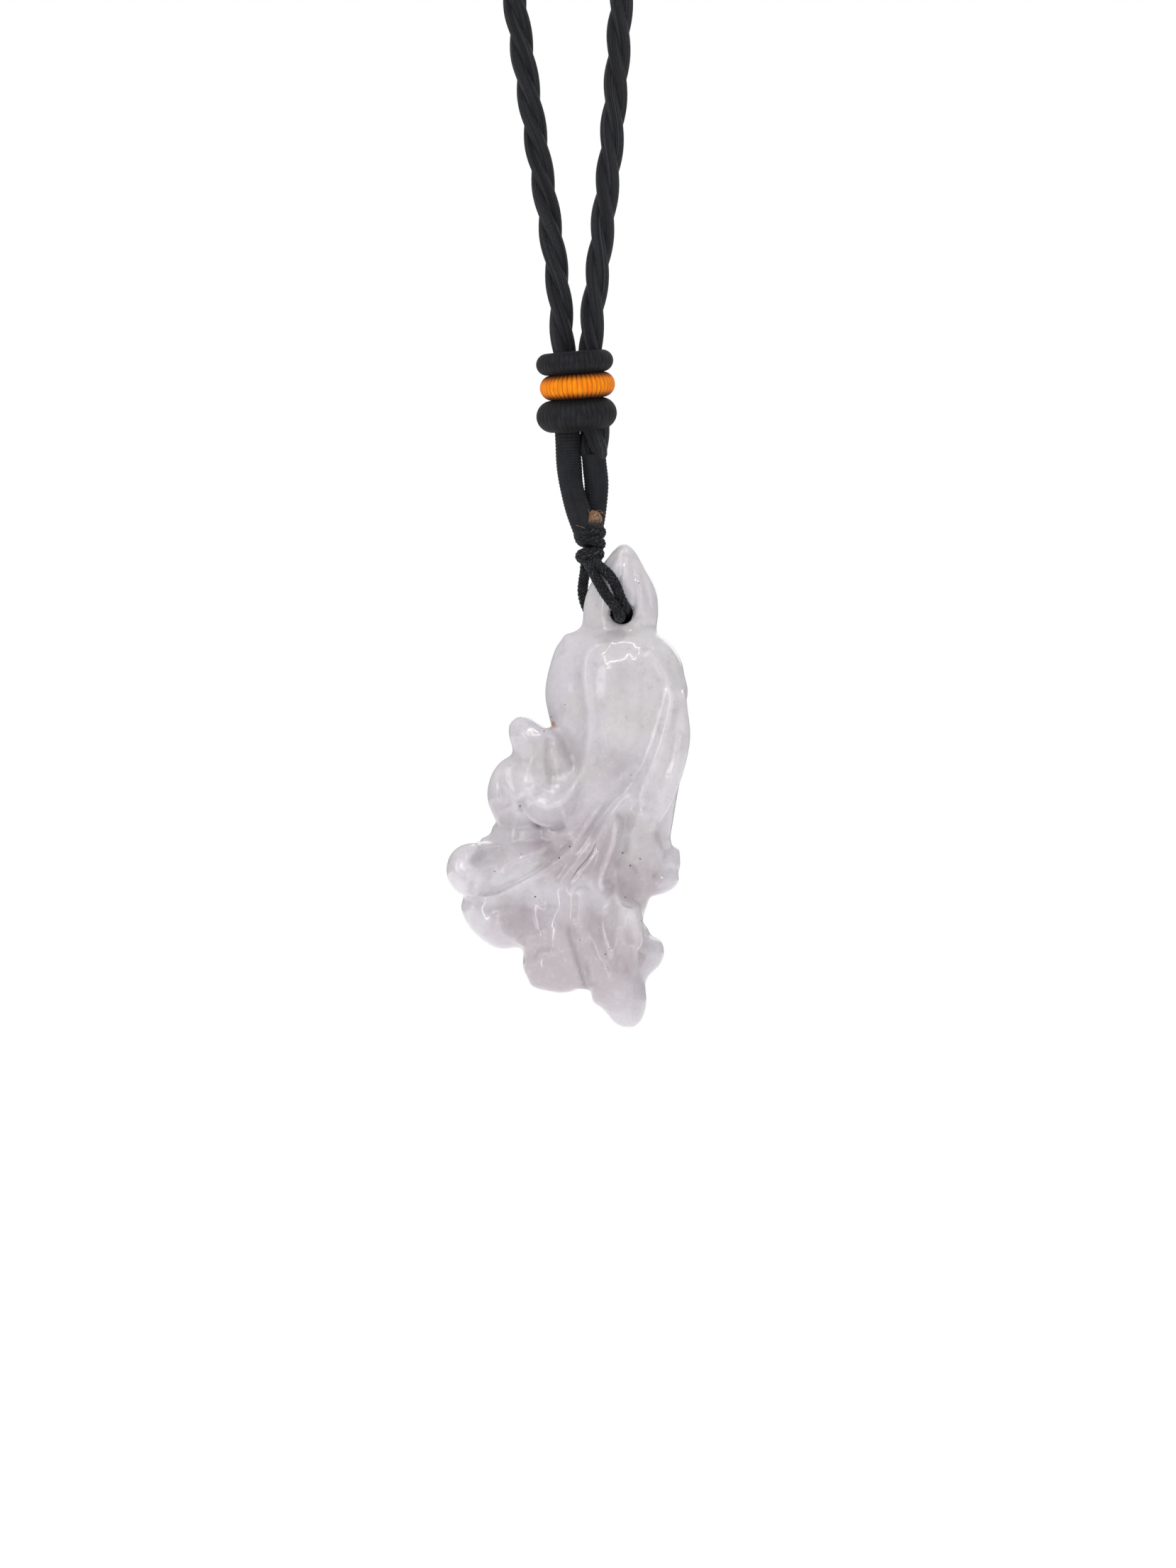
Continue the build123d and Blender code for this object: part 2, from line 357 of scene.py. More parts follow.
@dataclass(frozen=True)
class WindingFinish:
    """Thread wound side by side, with painted shade in the seams between the turns and where it dips out
    of sight.
    """

    name: str
    dark: Colour
    light: Colour
    # the colour of the painted shade
    shade_colour: Colour
    roughness: float = 0.6
    tube_fineness: float = 0.9  # the fibres' fineness round a wound tube
    tube_pace: float = 9000.0  # their steps in a metre of it
    ring_across: float = 3.5  # their fineness across and along the thread of a wound ring
    ring_along: float = 0.7
    relief: float = 0.05 * MM

    def material(self, length: float = 0.0) -> bpy.types.Material:
        """The material, whose fibres lie along the thread.

        Args:
            length: the length in metres of a tube that is wound with the thread, or nought for a ring,
                which keeps its thread's course in its own attributes.

        Returns:
            The material.
        """
        nodes = FinishNodes(self.name)
        if length:
            course = nodes.round_tube(0.0, self.tube_fineness, length * self.tube_pace)
        else:
            across = nodes.attribute("thread") * self.ring_across
            course = nodes.vector(across, nodes.attribute("course") * self.ring_along, 0.0)
        fibres = nodes.noise(course, scale=1.0, roughness=0.6)
        wool = nodes.noise(nodes.place(), scale=900.0, roughness=0.6)
        thread = nodes.blend((fibres * 0.7 + wool * 0.3).ramp(0.40, 0.66), self.dark, self.light)
        nodes.set(
            # painted shade in the seams and where the thread dips out of sight
            Base_Color=nodes.blend(nodes.attribute("painted_shade"), thread, self.shade_colour),
            Roughness=self.roughness + wool * 0.15,
            Specular_IOR_Level=0.14,
            Sheen_Weight=0.03,
            Sheen_Roughness=0.5,
            Normal=nodes.bump(fibres, self.relief, strength=0.7),
        )
        return nodes.material


@dataclass(frozen=True)
class SingedFinish:
    """Melted cord: dark at its foot and brown, rough and grainy at its top."""

    name: str = "singed_cord"
    black: Colour = (0.012, 0.011, 0.012, 1.0)
    brown: Colour = (0.16, 0.075, 0.04, 1.0)
    tan: Colour = (0.42, 0.26, 0.16, 1.0)
    relief: float = 0.12 * MM

    def material(self) -> bpy.types.Material:
        """The material, which reads how burnt a point is from the piece's own attribute.

        Returns:
            The material.
        """
        nodes = FinishNodes(self.name)
        grains = nodes.noise(nodes.place(), scale=5200.0, roughness=0.65)
        crust = nodes.blend(grains.ramp(0.46, 0.68), self.brown, self.tan)
        burnt = nodes.attribute("burnt") + grains * 0.3
        nodes.set(
            Base_Color=nodes.blend(burnt.ramp(0.5, 0.72), self.black, crust),
            Roughness=0.5,
            Specular_IOR_Level=0.35,
            Normal=nodes.bump(grains, self.relief, strength=0.9),
        )
        return nodes.material


@dataclass(frozen=True)
class JadeFinish:
    """Polished pale jade: lavender and grey-green clouds, mauve and painted shade in folds and low down,
    specks, a fine crack.
    """

    name: str = "jade"
    pale: Colour = (0.618, 0.594, 0.614, 1.0)
    lavender: Colour = (0.585, 0.556, 0.602, 1.0)
    grey_green: Colour = (0.586, 0.566, 0.568, 1.0)
    # mauve tint of the stone, also used as painted shade in the folds and lower leaves
    mauve_and_shade: Colour = (0.428, 0.374, 0.396, 1.0)
    milk: Colour = (0.700, 0.680, 0.696, 1.0)
    speck: Colour = (0.035, 0.030, 0.030, 1.0)
    rust: Colour = (0.420, 0.150, 0.030, 1.0)
    drift: Point = (0.031, 0.017, 0.0)  # keeps the green clouds and the wisps off the lavender ones
    speck_pixels: Sequence[Pixel] = (
        (777, 1011), (768, 1032), (847, 1061), (734, 1137), (804, 1194), (789, 1210), (889, 1221),
        (755, 1265),
    )
    speck_depth: float = -3.0 * MM
    speck_reach: float = 0.15 * MM
    rust_pixel: Pixel = (781.0, 1024.0)
    rust_depth: float = -1.5 * MM
    rust_core: float = 0.6 * MM
    rust_reach: float = 1.0 * MM
    relief: float = 0.03 * MM

    def away(self, nodes: FinishNodes, place: Wire, spot: Vector, share: float) -> Wire:
        """How far the surface lies from a spot.

        Args:
            nodes: the material's nodes.
            place: the place on the stone.
            spot: the spot.
            share: the share of the distance from front to back that counts.

        Returns:
            The distance in metres.
        """
        flat = nodes.vector_sum("MULTIPLY", place, (1.0, share, 1.0))
        return nodes.vector_sum("DISTANCE", flat, (spot.x, spot.y * share, spot.z), "Value")

    def clouds(self, nodes: FinishNodes, place: Wire, drift: Wire, wide: Wire, wisps: Wire) -> Wire:
        """The stone's own colours, with the mauve tint and painted shade of its folds and lower leaves.

        Args:
            nodes: the material's nodes.
            place: the place on the stone.
            drift: the place for the green clouds.
            wide: the widest clouds.
            wisps: the wisps.

        Returns:
            The colour.
        """
        green = nodes.noise(drift, scale=140.0, detail=4.0, roughness=0.6)
        body = nodes.blend(wide.ramp(0.36, 0.62), self.pale, self.lavender)
        body = nodes.blend(green.ramp(0.47, 0.66) * 0.85, body, self.grey_green)
        body = nodes.blend(wisps.ramp(0.52, 0.74) * 0.45, body, self.milk)
        # mauve tint mixed with painted shade in the folds and lower leaves
        fold_mauve_and_shade = nodes.attribute("mauve_and_shade") * (0.45 + wisps * 1.1)
        body = nodes.blend(fold_mauve_and_shade.ramp(0.08, 1.0) * 0.85, body, self.mauve_and_shade)
        patches = nodes.noise(place, scale=760.0, detail=4.0, roughness=0.65)
        grain = nodes.noise(place, scale=2600.0, detail=4.0, roughness=0.7)
        mottle = patches * 0.6 + grain * 0.4
        body = nodes.blend(mottle.ramp(0.49, 0.70) * 0.42, body, self.milk)
        return nodes.blend(mottle.ramp(0.50, 0.34) * 0.40, body, self.mauve_and_shade)

    def specks(self, nodes: FinishNodes, place: Wire) -> Wire:
        """Where the dark specks lie: scattered ones, and those at the photograph's own pixels.

        Args:
            nodes: the material's nodes.
            place: the place on the stone.

        Returns:
            1 in a speck and 0 elsewhere.
        """
        cells = {"Vector": place, "Scale": 1150.0}
        dots = nodes.node("ShaderNodeTexVoronoi", {"feature": "F1"}, cells, out="Distance")
        sparse = nodes.noise(place, scale=700.0, detail=1.0) + nodes.attribute("specks") * 0.25
        shown = dots.ramp(0.17, 0.09) * sparse.ramp(0.665, 0.70)
        for pixel in self.speck_pixels:
            away = self.away(nodes, place, from_photo(pixel, self.speck_depth), share=0.05)
            shown = shown + away.ramp(self.speck_reach, self.speck_reach * 0.45)
        return shown

    def material(self) -> bpy.types.Material:
        """The material, which reads the mauve and painted shade of the folds, and the crack, from the
        stone's own attributes.

        Returns:
            The material.
        """
        nodes = FinishNodes(self.name)
        place = nodes.place()
        wide = nodes.noise(place, scale=95.0, roughness=0.55)
        drift = nodes.vector_sum("ADD", place, self.drift)
        wisps = nodes.noise(drift, scale=420.0, detail=5.0, roughness=0.62)
        body = self.clouds(nodes, place, drift, wide, wisps)
        body = nodes.blend(self.specks(nodes, place) * 0.85, body, self.speck)
        crack = abs(nodes.attribute("crack")).ramp(0.085, 0.02) * nodes.attribute("crack_near")
        body = nodes.blend(crack * 0.62, body, self.speck)
        away = self.away(nodes, place, from_photo(self.rust_pixel, self.rust_depth), share=0.4)
        rust = (away + wisps * self.rust_core).ramp(self.rust_reach, self.rust_core)
        nodes.set(
            Base_Color=nodes.blend(rust * 0.9, body, self.rust),
            Roughness=0.10 + wisps * 0.05,
            IOR=1.62,
            Subsurface_Weight=0.35,
            Subsurface_Radius=(1.0, 0.92, 1.0),
            Subsurface_Scale=1.6 * MM,
            Coat_Weight=0.35,
            Coat_Roughness=0.03,
            Normal=nodes.bump(wisps + wide, self.relief, strength=0.2),
        )
        return nodes.material


@dataclass(frozen=True)
class FloorFinish:
    """Plain pale floor."""

    name: str = "pale_floor"
    colour: Colour = (0.86, 0.86, 0.87, 1.0)
    lighter: Colour = (0.9, 0.9, 0.9, 1.0)
    lift: float = 0.36

    def material(self) -> bpy.types.Material:
        """The material.

        Returns:
            The material.
        """
        nodes = FinishNodes(self.name)
        mottle = nodes.noise(nodes.place(), scale=3.0, detail=2.0)
        nodes.set(
            Base_Color=nodes.blend(mottle * 0.1, self.colour, self.lighter),
            Roughness=0.8,
            Emission_Color=WHITE,
            Emission_Strength=self.lift,
        )
        return nodes.material


class Thread(Enum):
    """Colours of the threads and cords."""

    # each thread: its dark and light colours, and the colour of its painted shade
    BLACK = (
        (0.0090, 0.0092, 0.0112, 1.0), (0.0230, 0.0240, 0.0290, 1.0), (0.0020, 0.0020, 0.0028, 1.0),
    )
    ORANGE = ((0.860, 0.200, 0.001, 1.0), (1.0, 0.330, 0.002, 1.0), (0.050, 0.008, 0.003, 1.0))

    @property
    def dark(self) -> Colour:
        """The thread's own colour, the first of its dark, light and painted-shade ones."""
        return self.value[0]


# ---------------------------------------------------------------- meshes


def finish_piece(
    mesh: bpy.types.Mesh,
    material: bpy.types.Material,
    name: str,
    node: str,
    slot: str,
    body: str = "necklace",
) -> bpy.types.Object:
    """Puts a finished mesh in the scene, on its body and in place of its CAD node.

    Args:
        mesh: the mesh, in metres in the shared frame.
        material: its finish.
        name: the piece's name.
        node: the CAD node that it stands for.
        slot: the record's material slot; not used.
        body: the body that it rides on.

    Returns:
        The piece.
    """
    mesh.name = name
    mesh.materials.append(material)
    piece = bpy.data.objects.new(name, mesh)
    bpy.context.scene.collection.objects.link(piece)
    mesh.shade_smooth()
    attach(piece, body)
    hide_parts(node)
    log.info("%s: %d faces", name, len(mesh.polygons))
    return piece


def as_mesh(
    data: bpy.types.ID, modify: Callable[[bpy.types.Object], None] | None = None
) -> bpy.types.Mesh:
    """The mesh that a curve or mesh gives with its modifiers on.

    Args:
        data: the curve or mesh.
        modify: adds modifiers to the object that holds it.

    Returns:
        A new mesh.
    """
    holder = bpy.data.objects.new("holder", data)
    bpy.context.scene.collection.objects.link(holder)
    if modify:
        modify(holder)
    graph = bpy.context.evaluated_depsgraph_get()
    mesh = bpy.data.meshes.new_from_object(holder.evaluated_get(graph))
    bpy.data.objects.remove(holder)
    return mesh


def from_bmesh(work: bmesh.types.BMesh, name: str, merge: float = 0.0) -> bpy.types.Mesh:
    """A mesh of what a bmesh holds, and the end of the bmesh.

    Args:
        work: the bmesh.
        name: the mesh's name.
        merge: the distance in metres within which its points become one, before its faces are turned
            outwards; at nought both steps are left out.

    Returns:
        The mesh.
    """
    if merge:
        bmesh.ops.remove_doubles(work, verts=work.verts, dist=merge)
        bmesh.ops.recalc_face_normals(work, faces=work.faces)
    mesh = bpy.data.meshes.new(name)
    work.to_mesh(mesh)
    work.free()
    return mesh


def centreline(route: Sequence[Point], closed: bool = False) -> np.ndarray:
    """Points along the smooth line that a route's points control.

    Args:
        route: the route's points in metres.
        closed: whether the line comes back to its start.

    Returns:
        The points, one a row.
    """
    curve = bpy.data.curves.new("route", "CURVE")
    curve.dimensions = "3D"
    curve.resolution_u = 24
    spline = curve.splines.new("NURBS")
    spline.points.add(len(route) - 1)
    for point, place in zip(spline.points, route):
        point.co = (*place, 1.0)
    spline.order_u = 3
    spline.use_cyclic_u = closed
    spline.use_endpoint_u = not closed
    return vertex_places(as_mesh(curve))


def even_steps(line: np.ndarray, step: float, closed: bool = False) -> tuple[np.ndarray, np.ndarray]:
    """The same line in even steps.

    Args:
        line: points along it.
        step: about how long a step is, in metres.
        closed: whether the line comes back to its start.

    Returns:
        The points and how far along each one lies.
    """
    fewest = 8
    if closed:
        line = np.vstack([line, line[:1]])
    lengths = np.linalg.norm(np.diff(line, axis=0), axis=1)
    along = np.concatenate([[0.0], np.cumsum(lengths)])
    count = max(fewest, round(along[-1] / step))
    wanted = np.linspace(0.0, along[-1], count + 1)
    if closed:
        wanted = wanted[:-1]
    return np.stack([np.interp(wanted, along, line[:, axis]) for axis in range(3)], axis=1), wanted


def side_vectors(line: np.ndarray) -> tuple[np.ndarray, np.ndarray]:
    """Two directions square to a line at each of its points, which turn as little as they can.

    Args:
        line: points along it.

    Returns:
        The two directions, one a row for each point.
    """
    heading = np.gradient(line, axis=0)
    heading /= np.linalg.norm(heading, axis=1)[:, None]
    first = np.empty_like(line)
    start = np.cross(heading[0], (0.0, 1.0, 0.0))
    first[0] = start / np.linalg.norm(start)
    for index in range(1, len(line)):
        kept = first[index - 1] - heading[index] * np.dot(first[index - 1], heading[index])
        first[index] = kept / np.linalg.norm(kept)
    return first, np.cross(heading, first)


def helix(line: np.ndarray, angles: np.ndarray, radii: np.ndarray) -> np.ndarray:
    """A line that winds round another one.

    Args:
        line: points along the other one.
        angles: its angle round each point, in radians.
        radii: its distance from each point.

    Returns:
        The points of the winding line.
    """
    first, second = side_vectors(line)
    reach = radii[:, None]
    return line + reach * (np.cos(angles)[:, None] * first + np.sin(angles)[:, None] * second)


def tubes(
    lines: Sequence[np.ndarray],
    thickness: float,
    facets: int,
    swell: np.ndarray | None = None,
    closed: bool = False,
) -> bpy.types.Mesh:
    """Round tubes along lines of points.

    Args:
        lines: the tubes' centre lines.
        thickness: the tubes' thickness in metres.
        facets: how finely the tubes are rounded.
        swell: a factor on the thickness at each point.
        closed: whether each tube comes back to its start.

    Returns:
        One mesh of closed tubes, with UVs round and along each.
    """
    curve = bpy.data.curves.new("tubes", "CURVE")
    curve.dimensions = "3D"
    curve.bevel_depth = thickness / 2
    curve.bevel_resolution = facets
    curve.use_fill_caps = not closed
    for line in lines:
        spline = curve.splines.new("POLY")
        spline.points.add(len(line) - 1)
        flat = np.hstack([line, np.ones((len(line), 1))]).ravel()
        spline.points.foreach_set("co", flat)
        if swell is not None:
            spline.points.foreach_set("radius", swell)
        spline.use_cyclic_u = closed
    work = bmesh.new()
    work.from_mesh(as_mesh(curve))
    return from_bmesh(work, "tubes", SAME_POINT / 10)


def joined(meshes: Sequence[bpy.types.Mesh]) -> bpy.types.Mesh:
    """One mesh of several.

    Args:
        meshes: the meshes.

    Returns:
        The one mesh.
    """
    work = bmesh.new()
    for mesh in meshes:
        work.from_mesh(mesh)
    return from_bmesh(work, "joined")


def vertex_places(mesh: bpy.types.Mesh) -> np.ndarray:
    """The places of a mesh's points, one a row.

    Args:
        mesh: the mesh.

    Returns:
        The places, in metres.
    """
    places = np.empty(len(mesh.vertices) * 3)
    mesh.vertices.foreach_get("co", places)
    return places.reshape(-1, 3)


def keep_attribute(mesh: bpy.types.Mesh, name: str, values: np.ndarray) -> None:
    """Keeps a number for each point of a mesh."""
    layer = mesh.attributes.new(name, "FLOAT", "POINT")
    layer.data.foreach_set("value", values.astype(np.float32))


def smooth(values: np.ndarray, low: float, high: float) -> np.ndarray:
    """0 below low and 1 above high, smooth between; low may be the larger."""
    share = np.clip((values - low) / (high - low), 0.0, 1.0)
    return share * share * (3 - 2 * share)


# ---------------------------------------------------------------- cords


@dataclass
class NeckRope:
    """The black neck rope: three strands laid up with a right-hand twist, in one loop."""

    route: Sequence[Point]
    lay: float = 15.0 * MM  # the length of one whole twist
    strands: int = 3
    strand: float = 1.48 * MM
    spread: float = 0.63 * MM  # from the rope's middle line to a strand's
    step: float = 0.62 * MM
    tail: float = 9.0 * MM  # the last stretch, where the strands open and swell
    tail_opening: float = 0.26
    tip: float = 1.8 * MM  # its end, where they close again
    tip_closing: float = 0.55
    tip_end: float = 0.1 * MM  # the stretch of the tip that is wholly closed
    # the colour of the rope's painted glints
    light: Colour = (0.26, 0.27, 0.30, 1.0)

    def build(self) -> tuple[bpy.types.Mesh, float]:
        """The strands, each its own tube round the rope's middle line.

        Returns:
            Their mesh and the rope's length in metres.
        """
        line, along = even_steps(centreline(self.route), self.step)
        length = along[-1]
        turn = -2 * pi * along / self.lay
        ahead = length - along
        opening = 1.0 + self.tail_opening * smooth(ahead, self.tail, self.tail / 2)
        opening *= 1.0 - self.tip_closing * smooth(ahead, self.tip, self.tip_end)
        starts = [2 * pi * index / self.strands for index in range(self.strands)]
        lines = [helix(line, turn + start, self.spread * opening) for start in starts]
        return tubes(lines, self.strand, facets=4, swell=opening), length

    def dress(self) -> bpy.types.Object:
        """The finished rope.

        Returns:
            The piece.
        """
        mesh, length = self.build()
        finish = FibreFinish("satin_rope", Thread.BLACK.dark, self.light, 1 / self.lay)
        return finish_piece(mesh, finish.material(length), "twisted_neck_rope", "neck_rope", "satin_rope")


@dataclass(frozen=True)
class Braid:
    """A thin braided cord: yarns wind both ways and pass over and under each other."""

    thickness: float = 1.15 * MM
    pitch: float = 3.0 * MM
    yarns: int = 6  # each way round
    step: float = 0.115 * MM
    circle: float = 0.36  # the yarns' distance from the cord's middle line, as a share of the thickness
    weave: float = 0.055  # how far they rise and dip on their way
    yarn: float = 0.25
    core: float = 0.82

    def lines(self, line: np.ndarray, along: np.ndarray, closed: bool = False) -> list[np.ndarray]:
        """The yarns' centre lines round the cord's.

        Args:
            line: points along the cord, in even steps.
            along: how far along each one lies.
            closed: whether the cord comes back to its start.

        Returns:
            A line for each yarn.
        """
        turns = 2 * pi / self.pitch
        if closed:
            whole = along[-1] + self.step
            turns = 2 * pi * max(1, round(whole / self.pitch)) / whole
        middle = self.thickness * self.circle
        over = np.cos(self.yarns * turns * along) * (self.thickness * self.weave)
        made = []
        for index in range(self.yarns):
            start = 2 * pi * index / self.yarns
            made.append(helix(line, start + turns * along, middle + over))
            made.append(helix(line, start - turns * along, middle - over))
        return made

    def mesh(self, route: Sequence[Point], closed: bool = False) -> bpy.types.Mesh:
        """The braided cord along a route.

        Args:
            route: the route's points in metres.
            closed: whether the cord comes back to its start.

        Returns:
            The yarns and the core that fills the cord.
        """
        line, along = even_steps(centreline(route, closed), self.step, closed)
        lines = self.lines(line, along, closed)
        yarns = tubes(lines, self.thickness * self.yarn, facets=1, closed=closed)
        core = tubes([line], self.thickness * self.core, facets=2, closed=closed)
        return joined([yarns, core])


def waxed_cord() -> bpy.types.Material:
    """The thin cord's finish, made once.

    Returns:
        The material.
    """
    # light is the colour of the thin cord's painted glints
    light, turns_per_metre, length = (0.16, 0.17, 0.19, 1.0), 40.0, 24.0 * MM
    made = bpy.data.materials.get("waxed_cord")
    if made:
        return made
    finish = FibreFinish(
        "waxed_cord", Thread.BLACK.dark, light, turns_per_metre, roughness=0.42, fineness=4.5
    )
    return finish.material(length)


@dataclass
class ThinCord:
    """The doubled thin cord between the hitch and the stone: its two strands."""

    left_route: Sequence[Point]
    right_route: Sequence[Point]
    braid: Braid = Braid()

    def dress(self) -> None:
        """Both strands, finished."""
        for side, route in (("left", self.left_route), ("right", self.right_route)):
            name, node = f"braided_cord_{side}", f"hanging_cord_{side}"
            finish_piece(self.braid.mesh(route), waxed_cord(), name, node, "thin_cord")


@dataclass
class BoundEye:
    """The eye under the bead: the rope's foot, closely bound with thread."""

    route: Sequence[Point]
    thickness: float = 2.66 * MM
    pitch: float = 0.36 * MM  # from one turn of thread to the next
    steps_in_turn: int = 6
    rib: float = 0.02  # share of the thickness by which each turn swells
    swells: Sequence[tuple[float, float]] = ((0.03, 1.9 * MM), (0.02, 0.83 * MM))  # slower swells

    def build(self) -> tuple[bpy.types.Mesh, float]:
        """A tube whose thickness rises and falls with each turn of thread.

        Returns:
            Its mesh and its length in metres.
        """
        line, along = even_steps(centreline(self.route), self.pitch / self.steps_in_turn)
        crown = np.abs(np.sin(pi * along / self.pitch))
        uneven = 1.0
        for start, (share, length) in enumerate(self.swells):
            uneven = uneven + share * np.sin(along / length + start)
        ribs = 1.0 - self.rib + self.rib * crown * 2
        mesh = tubes([line], self.thickness, facets=6, swell=ribs * uneven)
        # no painted shade on the eye
        keep_attribute(mesh, "painted_shade", np.zeros(len(mesh.vertices)))
        return mesh, along[-1]

    def dress(self) -> bpy.types.Object:
        """The finished eye.

        Returns:
            The piece.
        """
        mesh, length = self.build()
        thread = WindingFinish("bound_thread", *Thread.BLACK.value).material(length)
        return finish_piece(mesh, thread, "bound_eye", "wound_loop", "black_thread")


@dataclass(frozen=True)
class CordTurn:
    """One turn of thin cord round the eye's foot, at the cord's middle line."""

    braid: Braid
    drop: float  # from the hitch's top down to the turn
    half_width: float
    half_depth: float
    right_rise: float  # how far its right side stands up
    front_rise: float = 0.0
    shift: float = 0.0  # to the right
    corners: int = 12

    def mesh(self, across: float, top: float) -> bpy.types.Mesh:
        """The turn of cord.

        Args:
            across: the hitch's middle.
            top: the height of its top.

        Returns:
            The mesh.
        """
        route = []
        for index in range(self.corners):
            angle = 2 * pi * index / self.corners
            right, back = cos(angle), -sin(angle)
            height = top - self.drop + self.right_rise * right - self.front_rise * back
            route.append((across + self.shift + self.half_width * right, self.half_depth * back, height))
        return self.braid.mesh(route, closed=True)


UPPER_BRAID = Braid(thickness=1.3 * MM, pitch=3.2 * MM)
LOWER_BRAID = Braid(thickness=1.5 * MM, pitch=3.4 * MM)
HITCH_TURNS: Sequence[CordTurn] = (
    CordTurn(UPPER_BRAID, drop=0.62 * MM, half_width=1.15 * MM, half_depth=1.75 * MM,
             right_rise=0.18 * MM, front_rise=0.12 * MM),
    CordTurn(UPPER_BRAID, drop=1.42 * MM, half_width=1.05 * MM, half_depth=1.6 * MM,
             right_rise=-0.28 * MM, front_rise=0.1 * MM, shift=0.05 * MM),
    CordTurn(LOWER_BRAID, drop=2.92 * MM, half_width=0.85 * MM, half_depth=1.3 * MM,
             right_rise=0.14 * MM),
)


@dataclass
class Hitch:
    """The hitch of thin cord that grips the eye's foot: three turns, the upper two crossing."""

    top: float = -320.0 * MM
    across: float = 0.2 * MM
    turns: Sequence[CordTurn] = HITCH_TURNS

    def dress(self) -> bpy.types.Object:
        """The finished hitch."""
        mesh = joined([turn.mesh(self.across, self.top) for turn in self.turns])
        return finish_piece(mesh, waxed_cord(), "cord_hitch", "hitch_knot", "thin_cord")


# ---------------------------------------------------------------- bead


@dataclass(frozen=True)
class WoundRing:
    """One ring of the bead: threads wound side by side over its edge."""

    node: str
    name: str
    slot: str
    thread: Thread
    width: float
    height: float
    rise: float  # above the bead's middle, along its leaning middle line
    shift: float = 0.0  # to the right of it
    turns: int = 46
    steps_in_turn: int = 6
    edge_steps: int = 22
    edge_round: float = 0.6  # the largest share of the ring that its round edge takes
    hub_rise: float = 1.06  # how far its middle bulges
    rib: float = 0.055 * MM
    # how dark the painted shade in the seams between the turns is
    seam_shade_depth: float = 0.45
    shadow: tuple[float, float] = (0.35, 0.98)  # shares of its half height over which it darkens
    shadow_depth: float = 0.95

    def build(self) -> bpy.types.Mesh:
        """A swelling ring with a rib for each turn of thread.

        Returns:
            Its mesh, about its own middle.
        """
        work = bmesh.new()
        reach, half = self.width / 2, self.height / 2
        swell = min(half, reach * self.edge_round)
        edge = []
        for index in range(self.edge_steps + 1):
            angle = -pi / 2 + pi * index / self.edge_steps
            edge.append(work.verts.new((reach - swell + swell * cos(angle), 0.0, half * sin(angle))))
        hubs = [work.verts.new((0.0, 0.0, side * half * self.hub_rise)) for side in (-1, 1)]
        outline = [hubs[0], *edge, hubs[1]]
        edges = [work.edges.new(pair) for pair in zip(outline, outline[1:])]
        bmesh.ops.spin(
            work, geom=outline + edges, cent=(0.0, 0.0, 0.0), axis=(0.0, 0.0, 1.0), dvec=(0.0, 0.0, 0.0),
            angle=2 * pi, steps=self.turns * self.steps_in_turn, use_merge=True, use_normal_flip=False,
            use_duplicate=False,
        )
        mesh = from_bmesh(work, self.name, SAME_POINT)
        self.wind(mesh, reach, half, swell)
        return mesh

    def wind(self, mesh: bpy.types.Mesh, reach: float, half: float, swell: float) -> None:
        """Raises a rib for each turn of thread, and keeps the thread's course and the painted shade of
        its seams and of its top and bottom.

        Args:
            mesh: the plain ring.
            reach: half its width.
            half: half its height.
            swell: how far in its round edge goes.
        """
        places = vertex_places(mesh)
        around = np.arctan2(places[:, 0], -places[:, 1])
        far = np.hypot(places[:, 0], places[:, 1])
        crown = np.abs(np.sin(around * self.turns / 2))
        rise = self.rib * (crown - 0.6) * np.clip(far / reach, 0.0, 1.0)
        outward = np.clip((far - (reach - swell)) / swell, 0.0, 1.0)
        upward = np.clip(places[:, 2] / half, -1.0, 1.0)
        keep_attribute(mesh, "thread", around * self.turns / (2 * pi))
        course = np.arctan2(upward, outward + 0.05) * half + (reach - far)
        keep_attribute(mesh, "course", course / MM)
        # painted shade: darker towards the ring's top and bottom, and in the seams between the turns
        edge_shade = smooth(np.abs(upward), *self.shadow) * self.shadow_depth
        keep_attribute(mesh, "painted_shade", np.clip(edge_shade + self.seam_shade_depth * (1.0 - crown) ** 2, 0.0, 1.0))
        scale = rise / np.maximum(far, SAME_POINT / 1000)
        places[:, 0] += places[:, 0] * scale * outward
        places[:, 1] += places[:, 1] * scale * outward
        places[:, 2] += rise * upward * (1.0 - outward)
        mesh.vertices.foreach_set("co", places.ravel())

    def dress(self, middle: Point, lean: Matrix) -> bpy.types.Object:
        """The finished ring.

        Args:
            middle: the bead's middle.
            lean: how the bead leans.

        Returns:
            The piece.
        """
        mesh = self.build()
        spot = Vector(middle) + lean @ Vector((self.shift, 0.0, self.rise))
        mesh.transform(Matrix.Translation(spot) @ lean)
        thread = WindingFinish(f"{self.name}_thread", *self.thread.value).material()
        return finish_piece(mesh, thread, self.name, self.node, self.slot)


BEAD_RINGS: Sequence[WoundRing] = (
    WoundRing("bead_upper_wrap", "black_ring_upper", "black_thread", Thread.BLACK,
              width=8.3 * MM, height=2.3 * MM, rise=3.05 * MM, shift=-0.1 * MM),
    WoundRing("bead_orange_wrap", "orange_ring", "orange_thread", Thread.ORANGE,
              width=8.1 * MM, height=2.7 * MM, rise=0.55 * MM),
    WoundRing("bead_lower_wrap", "black_ring_lower", "black_thread", Thread.BLACK,
              width=8.7 * MM, height=3.4 * MM, rise=-2.5 * MM, shift=-0.33 * MM),
)


